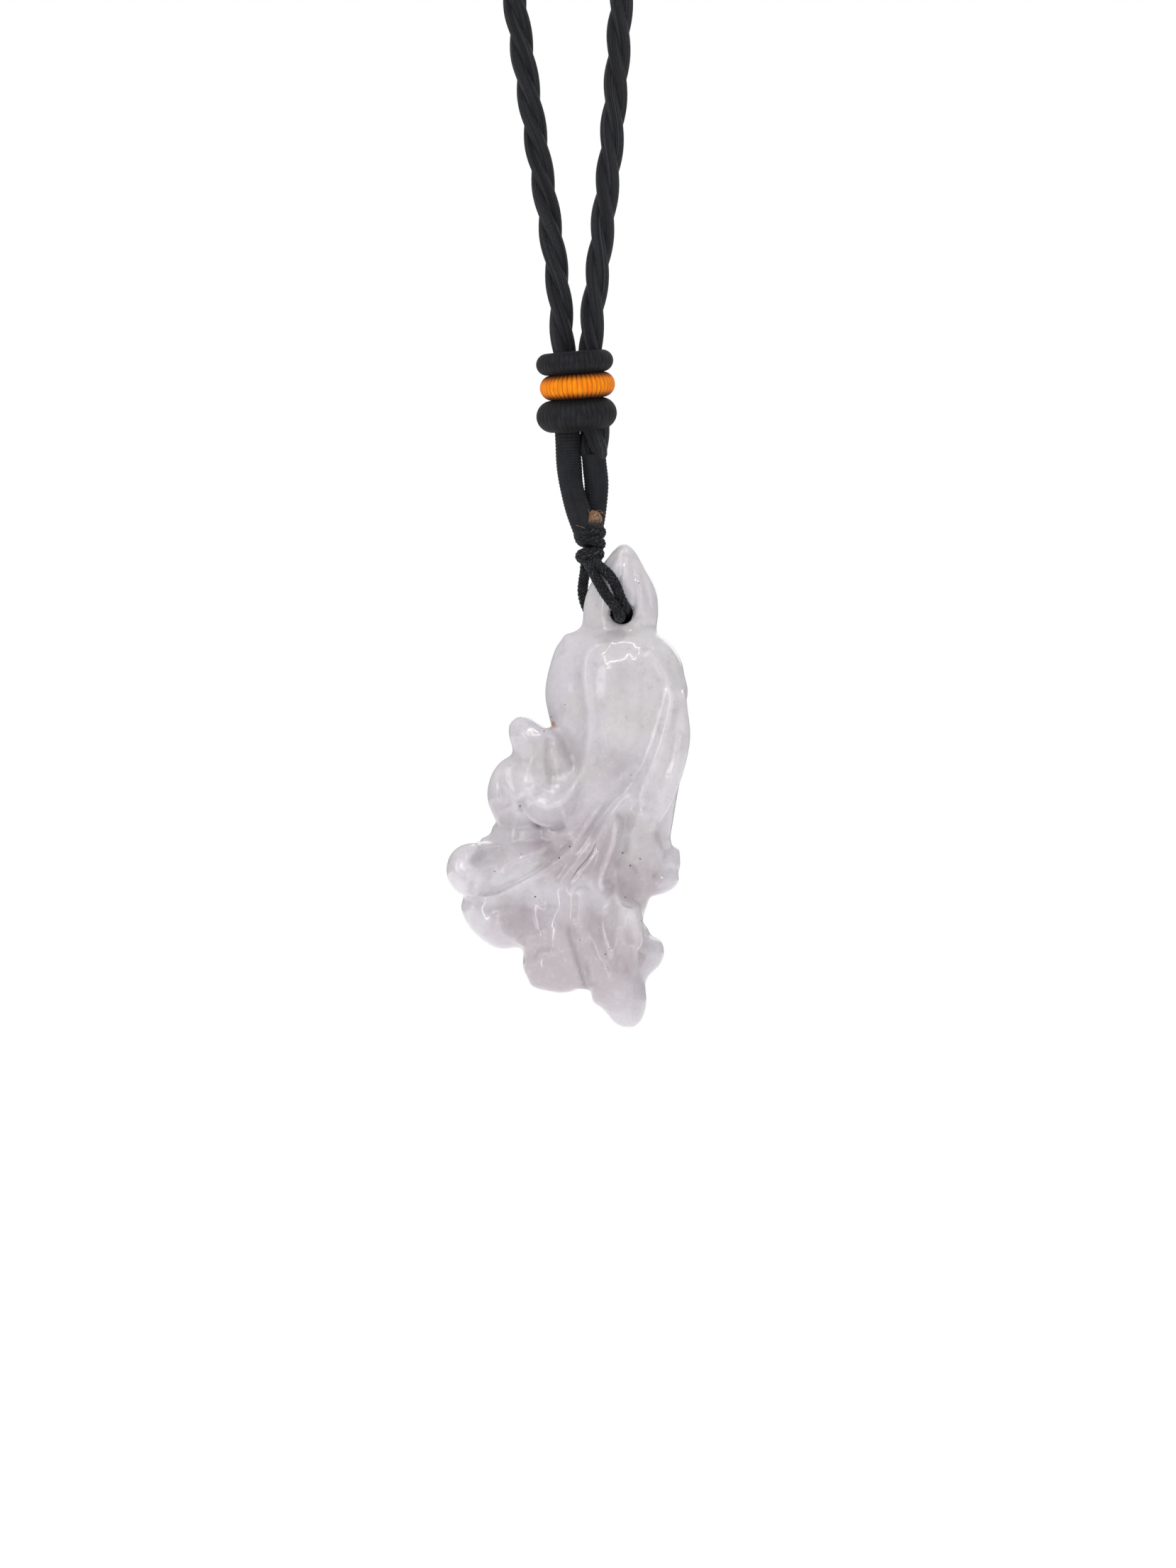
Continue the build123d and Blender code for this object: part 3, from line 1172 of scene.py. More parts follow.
@dataclass
class WoundBead:
    """The bead: a black, an orange and a black ring round both strands of the rope."""

    middle: Point = (-1.1 * MM, 0.0, -305.2 * MM)
    roll: float = 4.5  # degrees that its top leans to the left
    nod: float = 11.0  # degrees that its top leans towards the viewer
    rings: Sequence[WoundRing] = BEAD_RINGS

    def dress(self) -> None:
        """The three rings, stacked down the bead's leaning middle line."""
        lean = Matrix.Rotation(radians(self.nod), 4, "X") @ Matrix.Rotation(radians(-self.roll), 4, "Y")
        for ring in self.rings:
            ring.dress(self.middle, lean)


# ---------------------------------------------------------------- singed end


@dataclass
class SingedEnd:
    """The melted end of the thin cord, with a few stray fibres."""

    pixel: Pixel = (839.5, 735.0)
    depth: float = -1.5 * MM
    half_width: float = 0.92 * MM
    half_height: float = 1.25 * MM
    seed: int = 7
    lumps: int = 26
    lump_rise: float = 0.12  # shares of the stub's size
    lump_spread: float = 0.06
    hollow: float = 0.86  # its size between the lumps
    fibre: float = 0.055 * MM
    fibre_pixels: Sequence[Sequence[Pixel]] = (
        ((838.0, 724.0), (843.0, 719.5), (849.0, 720.0), (853.5, 727.0)),
        ((833.0, 727.0), (830.5, 722.0), (830.0, 718.5)),
        ((841.0, 725.0), (846.0, 722.0), (851.0, 724.0)),
        ((830.5, 748.0), (822.0, 743.0), (812.0, 741.0)),
    )

    def build(self) -> bpy.types.Mesh:
        """A lumpy stub and its fibres.

        Returns:
            Their mesh.
        """
        work = bmesh.new()
        bmesh.ops.create_icosphere(work, subdivisions=5, radius=1.0)
        mesh = from_bmesh(work, "singed")
        places = vertex_places(mesh)
        rng = np.random.default_rng(self.seed)
        lumps = rng.normal(size=(self.lumps, 3))
        lumps /= np.linalg.norm(lumps, axis=1)[:, None]
        rise = np.zeros(len(places))
        for lump in lumps:
            rise += self.lump_rise * np.exp(-np.sum((places - lump) ** 2, axis=1) / self.lump_spread)
        places *= (self.hollow + rise)[:, None]
        keep_attribute(mesh, "burnt", np.clip(0.5 + places[:, 2] * 0.5, 0.0, 1.0))
        places *= (self.half_width, self.half_width, self.half_height)
        places += np.array(from_photo(self.pixel, self.depth))
        mesh.vertices.foreach_set("co", places.ravel())
        return joined([mesh, *self.fibres()])

    def fibres(self) -> list[bpy.types.Mesh]:
        """Stray fibres that stand off the melted end, each a little nearer than the one before.

        Returns:
            A mesh for each.
        """
        first_step, next_step = 0.2, 0.15  # millimetres in front of the stub's middle
        made = []
        for index, pixels in enumerate(self.fibre_pixels):
            depth = self.depth - (first_step + next_step * index) * MM
            line, _ = even_steps(centreline([tuple(from_photo(p, depth)) for p in pixels]), 0.2 * MM)
            fibre = tubes([line], self.fibre, facets=1)
            keep_attribute(fibre, "burnt", np.ones(len(fibre.vertices)))
            made.append(fibre)
        return made

    def dress(self) -> bpy.types.Object:
        """The finished end."""
        material = SingedFinish().material()
        return finish_piece(self.build(), material, "melted_cord_end", "singed_end", "singed_cord")


# ---------------------------------------------------------------- stone


def near_line(pixels: np.ndarray, line: Sequence[Pixel]) -> tuple[np.ndarray, np.ndarray, np.ndarray]:
    """How points of the photograph lie to a line of pixels.

    Args:
        pixels: the points, one a row.
        line: the line's corners.

    Returns:
        Each point's distance from the line, its side (1 left of the way along, -1 right of it) and
        how far along the line its nearest point is, from 0 to 1.
    """
    best = np.full(len(pixels), np.inf)
    side = np.ones(len(pixels))
    along = np.zeros(len(pixels))
    corners = np.array(line, float)
    lengths = np.linalg.norm(np.diff(corners, axis=0), axis=1)
    total, gone = lengths.sum(), 0.0
    for start, end, length in zip(corners, corners[1:], lengths):
        run = (end - start) / length
        out = pixels - start
        ahead = np.clip(out @ run, 0.0, length)
        off = out - ahead[:, None] * run
        distance = np.hypot(off[:, 0], off[:, 1])
        nearer = distance < best
        best[nearer] = distance[nearer]
        turn = run[0] * out[:, 1] - run[1] * out[:, 0]
        side[nearer] = np.where(turn[nearer] < 0, 1.0, -1.0)
        along[nearer] = (gone + ahead[nearer]) / total
        gone += length
    return best, side, along


def rounded_line(line: Sequence[Pixel]) -> list[Pixel]:
    """A line of pixels with its corners cut twice.

    Args:
        line: the line's corners.

    Returns:
        The corners of the rounder line.
    """
    points = [np.array(point, float) for point in line]
    for _ in range(2):
        cut = [points[0]]
        for first, second in zip(points, points[1:]):
            cut += [first * 0.75 + second * 0.25, first * 0.25 + second * 0.75]
        points = [*cut, points[-1]]
    return [tuple(point) for point in points]


def taper(along: np.ndarray, fade: float) -> np.ndarray:
    """1 along a line, smoothly down to 0 over this share of its length at each end."""
    return smooth(along, 0.0, fade) * smooth(1.0 - along, 0.0, fade)


def falloff(pixels: np.ndarray, middle: Pixel, reach: float) -> np.ndarray:
    """1 at a pixel, smoothly down to 0 all round it, and about a third at this reach."""
    away = np.linalg.norm(pixels - np.array(middle), axis=1)
    return np.exp(-((away / reach) ** 2))


@dataclass(frozen=True)
class Ridge:
    """A carved ridge, or a groove where its height is negative."""

    line: Sequence[Pixel]
    height: float  # millimetres
    width: float  # pixels from its crest to where it fades
    fade: float = 0.15  # share of its length that tapers at each end

    def rise(self, pixels: np.ndarray) -> np.ndarray:
        """How far it raises each point, in millimetres."""
        distance, _, along = near_line(pixels, rounded_line(self.line))
        return self.height * np.exp(-((distance / self.width) ** 2)) * taper(along, self.fade)


@dataclass(frozen=True)
class Overlap:
    """A leaf's edge that lies over what is behind it: high on the left of the way along."""

    line: Sequence[Pixel]
    height: float  # millimetres that the edge stands up
    sink: float  # millimetres that the ground drops beside it
    reach: float = 22.0  # pixels over which both fade
    sharp: float = 3.0  # pixels over which the edge turns down
    fade: float = 0.12  # share of its length that tapers at each end

    def rise(self, pixels: np.ndarray) -> np.ndarray:
        """How far it raises each point.

        Args:
            pixels: the points' places on the photograph.

        Returns:
            The rise of each, in millimetres.
        """
        distance, side, along = near_line(pixels, rounded_line(self.line))
        share = 0.5 + 0.5 * np.tanh(side * distance / self.sharp)
        profile = (self.height + self.sink) * share - self.sink
        return profile * np.exp(-((distance / self.reach) ** 2)) * taper(along, self.fade)


@dataclass(frozen=True)
class Dish:
    """A smooth hollow, or a swelling where its depth is negative."""

    middle: Pixel
    half_long: float  # pixels
    half_wide: float  # pixels
    lean: float  # degrees, positive with its top to the left
    depth: float  # millimetres

    def rise(self, pixels: np.ndarray) -> np.ndarray:
        """How far it raises each point.

        Args:
            pixels: the points' places on the photograph.

        Returns:
            The rise of each, in millimetres.
        """
        turn = radians(self.lean)
        out = pixels - np.array(self.middle)
        long = (out[:, 0] * -sin(turn) - out[:, 1] * cos(turn)) / self.half_long
        wide = (out[:, 0] * cos(turn) - out[:, 1] * sin(turn)) / self.half_wide
        inside = np.clip(1.0 - long**2 - wide**2, 0.0, 1.0)
        return -self.depth * inside**1.5


@dataclass(frozen=True)
class Pull:
    """A push of the outline, from one pixel towards another."""

    start: Pixel
    end: Pixel
    reach: float  # pixels


@dataclass(frozen=True)
class Patch:
    """A round patch of the photograph with a soft edge."""

    middle: Pixel
    reach: float  # pixels
    strength: float = 1.0

    def amount(self, pixels: np.ndarray) -> np.ndarray:
        """How strong it is at each point."""
        return self.strength * falloff(pixels, self.middle, self.reach)


@dataclass(frozen=True)
class Melt(Patch):
    """A patch of the stone where the seams between its leaves are polished away."""

    through: bool = False  # whether it works on the back as well as the front


STALK_RIM: Sequence[Pixel] = (  # the stalk's left rim below the shoulder
    (825, 925), (822, 950), (827, 985), (832, 1015), (828, 1050), (823, 1080), (812, 1106), (797, 1127),
    (778, 1138), (758, 1134), (738, 1120),
)
NECK_CREASE = Ridge([(818, 884), (840, 889), (868, 890), (900, 888), (930, 882)], -0.30, 7, 0.08)

MELTS: Sequence[Melt] = (
    Melt((964, 976), 24, through=True), Melt((962, 964), 28), Melt((953, 988), 16),
    Melt((943, 1015), 14), Melt((937, 1042), 14), Melt((930, 1068), 14), Melt((922, 1092), 13),
    Melt((912, 1112), 12, 0.7),
    Melt((706, 1108), 30), Melt((735, 1062), 20), Melt((742, 1112), 18, 0.8),
    Melt((906, 1374), 20, through=True), Melt((850, 1310), 26), Melt((866, 1332), 20),
    Melt((812, 1330), 20), Melt((748, 1272), 24, 0.8), Melt((700, 1268), 18, 0.5),
    Melt((905, 1140), 20, 0.8), Melt((862, 905), 26, 0.6), Melt((800, 940), 24, 0.6),
)

FRONT_RELIEF: Sequence[Ridge | Overlap | Dish] = (
    # the stalk's left rim, from the shoulder down and round under the scooped leaf
    Overlap([(862, 905), (838, 909), *STALK_RIM], 0.25, 0.45, 34, 6, 0.08),
    Ridge([(862, 904), (838, 908), *STALK_RIM], 0.75, 8, 0.06),
    # the right outer stalk's rim
    Overlap([(902, 1140), (908, 1119), (917, 1095), (926, 1074), (936, 1046), (944, 1012), (950, 985),
             (946, 960), (930, 930), (908, 908)], 0.45, 0.30, 26, 6, 0.06),
    Ridge([(908, 908), (930, 930), (946, 960), (951, 985), (945, 1012), (937, 1046), (927, 1074),
           (917, 1095), (908, 1119), (902, 1140)], 0.70, 9, 0.06),
    Ridge([(958, 1030), (958, 1060), (952, 1088), (940, 1102)], 0.35, 6),
    Dish((885, 1010), 110, 34, 2, 0.35),
    Dish((874, 990), 72, 36, 4, -0.48),
    Ridge([(930, 905), (946, 925), (957, 948), (964, 975), (966, 1000)], 0.45, 15, 0.2),
    # the scooped upper left leaf
    Dish((800, 1075), 58, 22, 5, 0.55),
    Ridge([(777, 1036), (774, 1059), (776, 1083), (781, 1110)], -0.55, 6),
    Ridge([(731, 1026), (740, 1042), (756, 1064)], 0.5, 10, 0.2),
    Ridge([(725, 1072), (711, 1088), (714, 1104), (725, 1122), (736, 1138)], 0.45, 6, 0.1),
    Dish((748, 1092), 34, 20, 20, 0.5),
    Ridge([(752, 1074), (742, 1084), (734, 1076)], 0.25, 5, 0.2),
    Ridge([(728, 1121), (742, 1112), (758, 1116)], 0.25, 5, 0.2),
    Overlap([(800, 1168), (786, 1171), (770, 1168), (755, 1162), (743, 1153), (733, 1141), (727, 1128)],
            0.30, 0.95, 26, 3.5, 0.08),
    # the second leaf's rim and the folds behind the curl
    Ridge([(704, 1078), (698, 1098), (698, 1120), (702, 1138)], 0.35, 6, 0.2),
    Ridge([(726, 1158), (724, 1174), (722, 1188)], 0.25, 5, 0.2),
    # the third leaf and its curled end
    Ridge([(652, 1200), (640, 1212), (640, 1232), (652, 1246), (668, 1246)], 0.35, 6, 0.2),
    Dish((694, 1206), 34, 15, -72, 0.95),
    Ridge([(704, 1238), (712, 1224), (728, 1215), (748, 1209), (766, 1200), (778, 1188)], 0.60, 8, 0.12),
    Overlap([(812, 1186), (788, 1209), (764, 1228), (740, 1241), (719, 1252), (698, 1262), (671, 1265),
             (652, 1259)], 0.25, 0.95, 26, 3.5, 0.08),
    Dish((750, 1226), 44, 12, -62, -0.25),
    # the bottom left leaf
    Ridge([(703, 1284), (704, 1303), (709, 1319), (725, 1323), (732, 1334), (741, 1331)], 0.50, 6, 0.12),
    Dish((745, 1290), 40, 30, -60, 0.45),
    Ridge([(668, 1278), (656, 1290), (660, 1306)], 0.3, 6, 0.2),
    Ridge([(757, 1342), (770, 1345), (786, 1343)], 0.25, 6, 0.2),
    Ridge([(764, 1232), (770, 1262), (776, 1290)], -0.35, 9, 0.2),
    # veins and grooves that fan out from the stalk
    Ridge([(906, 1079), (890, 1102), (872, 1124), (850, 1146), (832, 1170), (812, 1198), (796, 1222),
           (784, 1246)], -0.55, 8, 0.15),
    Ridge([(884, 1118), (864, 1148), (848, 1172), (838, 1192)], 0.40, 7, 0.2),
    Ridge([(852, 1130), (836, 1156), (818, 1184), (800, 1206)], 0.40, 6, 0.2),
    Ridge([(842, 1188), (830, 1212), (815, 1227), (807, 1244)], -0.25, 4, 0.2),
    Ridge([(806, 1222), (796, 1238), (786, 1252)], 0.30, 5, 0.25),
    Ridge([(822, 1226), (812, 1246), (802, 1262)], 0.25, 5, 0.25),
    Ridge([(870, 1150), (866, 1180), (860, 1204), (849, 1228), (846, 1246), (856, 1260)], 1.6, 7, 0.1),
    Ridge([(880, 1140), (882, 1170), (878, 1200), (868, 1226)], -0.55, 9, 0.2),
    # the right leaf, its pocket and its folded rim
    Dish((888, 1238), 34, 20, 20, 0.75),
    Ridge([(860, 1256), (874, 1266), (888, 1278), (900, 1287), (904, 1306), (903, 1326), (895, 1340)],
          0.75, 10, 0.08),
    Ridge([(884, 1306), (886, 1320), (892, 1334)], -0.3, 5, 0.2),
    Overlap([(912, 1262), (909, 1290), (908, 1318), (904, 1342)], 0.0, 0.55, 16, 4, 0.15),
    Dish((905, 1160), 24, 20, 0, -0.45),
    Ridge([(926, 1150), (934, 1186), (946, 1206)], -0.45, 8, 0.2),
    Ridge([(920, 1238), (938, 1232), (954, 1226)], -0.3, 7, 0.2),
    # the tip leaf
    Ridge([(821, 1252), (820, 1278), (818, 1304), (819, 1326)], 0.55, 9, 0.15),
    Overlap([(827, 1400), (820, 1377), (812, 1350), (803, 1323), (798, 1300)], 0.15, 0.65, 20, 4, 0.12),
    Dish((850, 1310), 52, 16, 12, 0.5),
    Dish((868, 1385), 44, 26, 12, -0.3),
    # neck and bud
    NECK_CREASE,
    Ridge([(881, 774), (878, 796), (872, 820), (868, 838)], -0.28, 4, 0.2),
    Ridge([(884, 774), (894, 806), (898, 836), (892, 862), (886, 874)], -0.28, 4, 0.2),
    Ridge([(874, 776), (862, 792), (850, 812), (842, 834)], -0.28, 4, 0.2),
    Ridge([(888, 776), (904, 808), (914, 840), (918, 866)], -0.20, 4, 0.2),
    Dish((901, 838), 34, 13, 0, -0.22),
    Dish((880, 812), 26, 8, 10, -0.18),
)

BACK_RELIEF: Sequence[Ridge | Overlap | Dish] = (
    Ridge([(868, 900), (850, 960), (830, 1040), (800, 1110), (760, 1170)], -0.6, 11, 0.15),
    Ridge([(884, 900), (900, 980), (905, 1060), (890, 1140), (880, 1220)], -0.6, 11, 0.15),
    Ridge([(876, 900), (872, 1000), (860, 1100), (842, 1200), (850, 1300), (870, 1390)], 0.5, 10, 0.12),
    Ridge([(858, 1060), (820, 1120), (780, 1160), (730, 1190)], 0.4, 8, 0.2),
    Ridge([(850, 1140), (806, 1210), (760, 1250), (700, 1280)], 0.4, 8, 0.2),
    Ridge([(876, 1120), (900, 1170), (930, 1210)], 0.35, 8, 0.2),
    Overlap([(760, 1100), (790, 1180), (800, 1250), (780, 1330)], 0.3, 0.5, 26, 4, 0.2),
    Dish((720, 1120), 50, 24, 20, 0.5),
    Dish((700, 1230), 46, 20, -60, 0.5),
    Dish((740, 1320), 46, 24, -50, 0.5),
    Dish((880, 1290), 50, 22, 10, 0.45),
    NECK_CREASE,
    Ridge([(881, 774), (878, 800), (872, 838)], -0.25, 4, 0.2),
    Ridge([(884, 774), (896, 810), (896, 862)], -0.25, 4, 0.2),
)

OUTLINE_PULLS: Sequence[Pull] = (
    Pull((768, 1006), (776, 1028), 13),
    Pull((977, 1008), (972, 1008), 26),
    Pull((958, 938), (961, 937), 20),
    Pull((966, 972), (970, 972), 18),
    Pull((881, 772), (881, 768), 14),
    Pull((722, 1348), (733, 1338), 15),
    Pull((949, 1199), (958, 1194), 12),
    Pull((925, 1314), (919, 1319), 12),
    Pull((846, 1411), (838, 1415), 15),
    Pull((704, 1165), (697, 1163), 12),
    Pull((690, 1195), (677, 1186), 12),
    Pull((882, 1454), (882, 1451), 22),
    Pull((757, 1391), (751, 1393), 14),
    Pull((806, 897), (799, 895), 12),
)

# patches of mauve tint and painted shade: the folds, the pockets and the lower leaves
MAUVE_AND_SHADE_AREAS: Sequence[Patch] = (
    Patch((830, 1190), 42, 1.0), Patch((800, 1222), 34, 0.8), Patch((890, 1245), 30, 1.0),
    Patch((905, 1255), 22, 0.7), Patch((700, 1140), 34, 0.55), Patch((760, 1190), 40, 0.6),
    Patch((880, 1335), 34, 0.7), Patch((800, 1350), 30, 0.6), Patch((730, 1295), 36, 0.6),
    Patch((880, 955), 26, 0.5), Patch((790, 1060), 36, 0.45), Patch((700, 1210), 26, 0.6),
    Patch((870, 1085), 46, 0.60), Patch((740, 1060), 34, 0.35), Patch((860, 1230), 20, 0.5),
    Patch((915, 1175), 40, 0.55), Patch((785, 1365), 64, 1.25), Patch((880, 1390), 60, 0.6),
    Patch((700, 1290), 45, 0.3), Patch((830, 1310), 45, 0.6), Patch((925, 1225), 36, 0.35),
    Patch((800, 1110), 60, 0.25),
)
SPECK_AREAS: Sequence[Patch] = (
    Patch((690, 1207), 24, 1.0), Patch((788, 1210), 34, 0.5), Patch((845, 1312), 34, 0.4),
    Patch((760, 1265), 36, 0.35),
)
CRACK_LINE: Sequence[Pixel] = (
    (842, 1186), (836, 1200), (828, 1212), (815, 1226), (810, 1236), (807, 1246),
)


@dataclass
class CarvedStone:
    """The jade carving: a bud, a bulb of stalks and leaves that fan out to the lower left."""

    grain: float = 0.24 * MM  # the size of its skin's faces
    soften: int = 16
    melt_passes: int = 150
    melt_pace: float = 0.6
    melt_front: tuple[float, float] = (-2.0 * MM, 0.5 * MM)  # heights over which front melts set in
    bore: tuple[float, float] = (3.638 * MM, -329.3 * MM)  # the hole's middle, across and up
    bore_radius: float = 1.38 * MM
    bore_inside: tuple[float, float] = (2.4 * MM, 1.7 * MM)  # depths over which its widening sets in
    mouth: float = 1.45 * MM
    mouth_closing: float = 0.12 * MM
    mouth_edge: float = 0.45 * MM
    facing: tuple[float, float] = (0.05, 0.55)  # how squarely a side faces forwards or back to be carved
    polish_passes: int = 2
    polish_pace: float = 0.35
    crack_front: tuple[float, float] = (-1.0 * MM, 1.0 * MM)

    def rough(self) -> bpy.types.Mesh:
        """The CAD stone's form in an even skin, with the seams between its leaves softened.

        Returns:
            Its mesh.
        """
        work = bmesh.new()
        work.from_mesh(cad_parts["bok_choy_stone"].data)
        copy = from_bmesh(work, "rough_stone", SAME_POINT)

        def even_skin(holder: bpy.types.Object) -> None:
            """Remeshes the form and smooths it.

            Args:
                holder: the object that holds it.
            """
            skin = holder.modifiers.new("skin", "REMESH")
            skin.mode = "VOXEL"
            skin.voxel_size = self.grain
            soft = holder.modifiers.new("soft", "SMOOTH")
            soft.factor = 0.5
            soft.iterations = self.soften

        return as_mesh(copy, even_skin)

    def melt(self, mesh: bpy.types.Mesh) -> None:
        """Polishes seams away where the real stone has none.

        Args:
            mesh: the skin, which it smooths at the places of the melts.
        """
        places = vertex_places(mesh)
        pixels = to_photo(places)
        weight = np.zeros(len(places))
        for spot in MELTS:
            front = 1.0 if spot.through else smooth(-places[:, 1], *self.melt_front)
            weight = np.maximum(weight, self.melt_pace * front * spot.amount(pixels))
        ends = np.empty(len(mesh.edges) * 2, dtype=np.int32)
        mesh.edges.foreach_get("vertices", ends)
        first, second = ends[0::2], ends[1::2]
        count = np.bincount(ends, minlength=len(places))
        for _ in range(self.melt_passes):
            for axis in range(3):
                line = places[:, axis]
                total = np.bincount(first, line[second], len(line))
                total += np.bincount(second, line[first], len(line))
                places[:, axis] += weight * (total / count - line)
        mesh.vertices.foreach_set("co", places.ravel())

    def pull(self, places: np.ndarray) -> None:
        """Moves the outline to the photograph's.

        Args:
            places: the skin's points, which it moves.
        """
        pixels = to_photo(places)
        shift = np.zeros_like(pixels)
        for pull in OUTLINE_PULLS:
            way = np.array(pull.end) - np.array(pull.start)
            shift += falloff(pixels, pull.start, pull.reach)[:, None] * way
        places[:, 0] += shift[:, 0] * PIXEL
        places[:, 2] -= shift[:, 1] * PIXEL

    def fit_bore(self, places: np.ndarray) -> None:
        """Draws the hole's mouths in a little, and widens its inside for the strands.

        Args:
            places: the skin's points, which it moves.
        """
        across, up = places[:, 0] - self.bore[0], places[:, 2] - self.bore[1]
        away = np.hypot(across, up)
        closing = self.mouth_closing * np.exp(-(((away - self.mouth) / self.mouth_edge) ** 2)) / away
        inside = smooth(np.abs(places[:, 1]), *self.bore_inside)
        closing = closing * (1.0 - inside) - inside * np.clip(self.bore_radius - away, 0.0, None) / away
        places[:, 0] -= across * closing
        places[:, 2] -= up * closing

    def carve(self, mesh: bpy.types.Mesh) -> None:
        """Moves the skin: its outline, its hole, and the relief of its front and its back.

        Args:
            mesh: the skin.
        """
        places = vertex_places(mesh)
        self.pull(places)
        mesh.vertices.foreach_set("co", places.ravel())
        mesh.update()
        facing = np.empty(len(mesh.vertices) * 3)
        mesh.vertices.foreach_get("normal", facing)
        facing = facing.reshape(-1, 3)[:, 1]
        self.fit_bore(places)
        pixels = to_photo(places)
        front = sum(form.rise(pixels) for form in FRONT_RELIEF) * smooth(-facing, *self.facing)
        back = sum(form.rise(pixels) for form in BACK_RELIEF) * smooth(facing, *self.facing)
        places[:, 1] += (back - front) * MM
        mesh.vertices.foreach_set("co", places.ravel())

    def polish(self, mesh: bpy.types.Mesh) -> None:
        """Softens the carved skin a little.

        Args:
            mesh: the skin.
        """
        work = bmesh.new()
        work.from_mesh(mesh)
        for _ in range(self.polish_passes):
            bmesh.ops.smooth_vert(
                work, verts=work.verts, factor=self.polish_pace, use_axis_x=True, use_axis_y=True,
                use_axis_z=True,
            )
        bmesh.ops.recalc_face_normals(work, faces=work.faces)
        work.to_mesh(mesh)
        work.free()

    def stain(self, mesh: bpy.types.Mesh) -> None:
        """Keeps where the mauve tint and painted shade of the folds and lower leaves, the specks and the
        crack lie.

        Args:
            mesh: the carved skin.
        """
        places = vertex_places(mesh)
        pixels = to_photo(places)
        # mauve: mauve tint and painted shade in the folds and lower leaves; specks: where the specks
        # gather
        for name, areas in (("mauve_and_shade", MAUVE_AND_SHADE_AREAS), ("specks", SPECK_AREAS)):
            keep_attribute(mesh, name, np.clip(sum(area.amount(pixels) for area in areas), 0.0, 1.0))
        distance, side, along = near_line(pixels, CRACK_LINE)
        on_front = smooth(-places[:, 1], *self.crack_front)
        near = smooth(along, 0.0, 0.1) * smooth(1.0 - along, 0.0, 0.3) * on_front
        keep_attribute(mesh, "crack", distance * side * PIXEL / MM)
        keep_attribute(mesh, "crack_near", near)

    def dress(self) -> bpy.types.Object:
        """The finished stone.

        Returns:
            The piece.
        """
        mesh = self.rough()
        self.melt(mesh)
        self.carve(mesh)
        self.polish(mesh)
        self.stain(mesh)
        jade = JadeFinish().material()
        return finish_piece(mesh, jade, "carved_jade", "bok_choy_stone", "jade", body="stone")


# ---------------------------------------------------------------- studio


@dataclass(frozen=True)
class Panel:
    """A soft rectangular light, out of the camera's sight."""

    name: str
    place: Point
    aim: Point
    width: float
    height: float
    power: float  # watts

    def hang(self) -> None:
        """Puts the light in the scene, turned to what it points at."""
        data = bpy.data.lights.new(self.name, "AREA")
        data.shape = "RECTANGLE"
        data.size = self.width
        data.size_y = self.height
        data.energy = self.power
        light = bpy.data.objects.new(self.name, data)
        light.location = self.place
        way = Vector(self.aim) - Vector(self.place)
        light.rotation_euler = way.to_track_quat("-Z", "Y").to_euler()
        light.visible_camera = False
        bpy.context.scene.collection.objects.link(light)


STONE_MIDDLE: Point = (-0.002, 0.0, -0.348)
PANELS: Sequence[Panel] = (
    Panel("key_panel", (-0.26, -0.34, -0.12), STONE_MIDDLE, 0.30, 0.30, 0.40),
    Panel("fill_panel", (0.34, -0.30, -0.25), STONE_MIDDLE, 0.30, 0.30, 0.16),
    Panel("back_panel", (0.10, 0.40, -0.12), STONE_MIDDLE, 0.30, 0.30, 0.25),
    Panel("edge_strip", (-0.125, -0.155, -0.340), STONE_MIDDLE, 0.006, 0.20, 0.030),
)


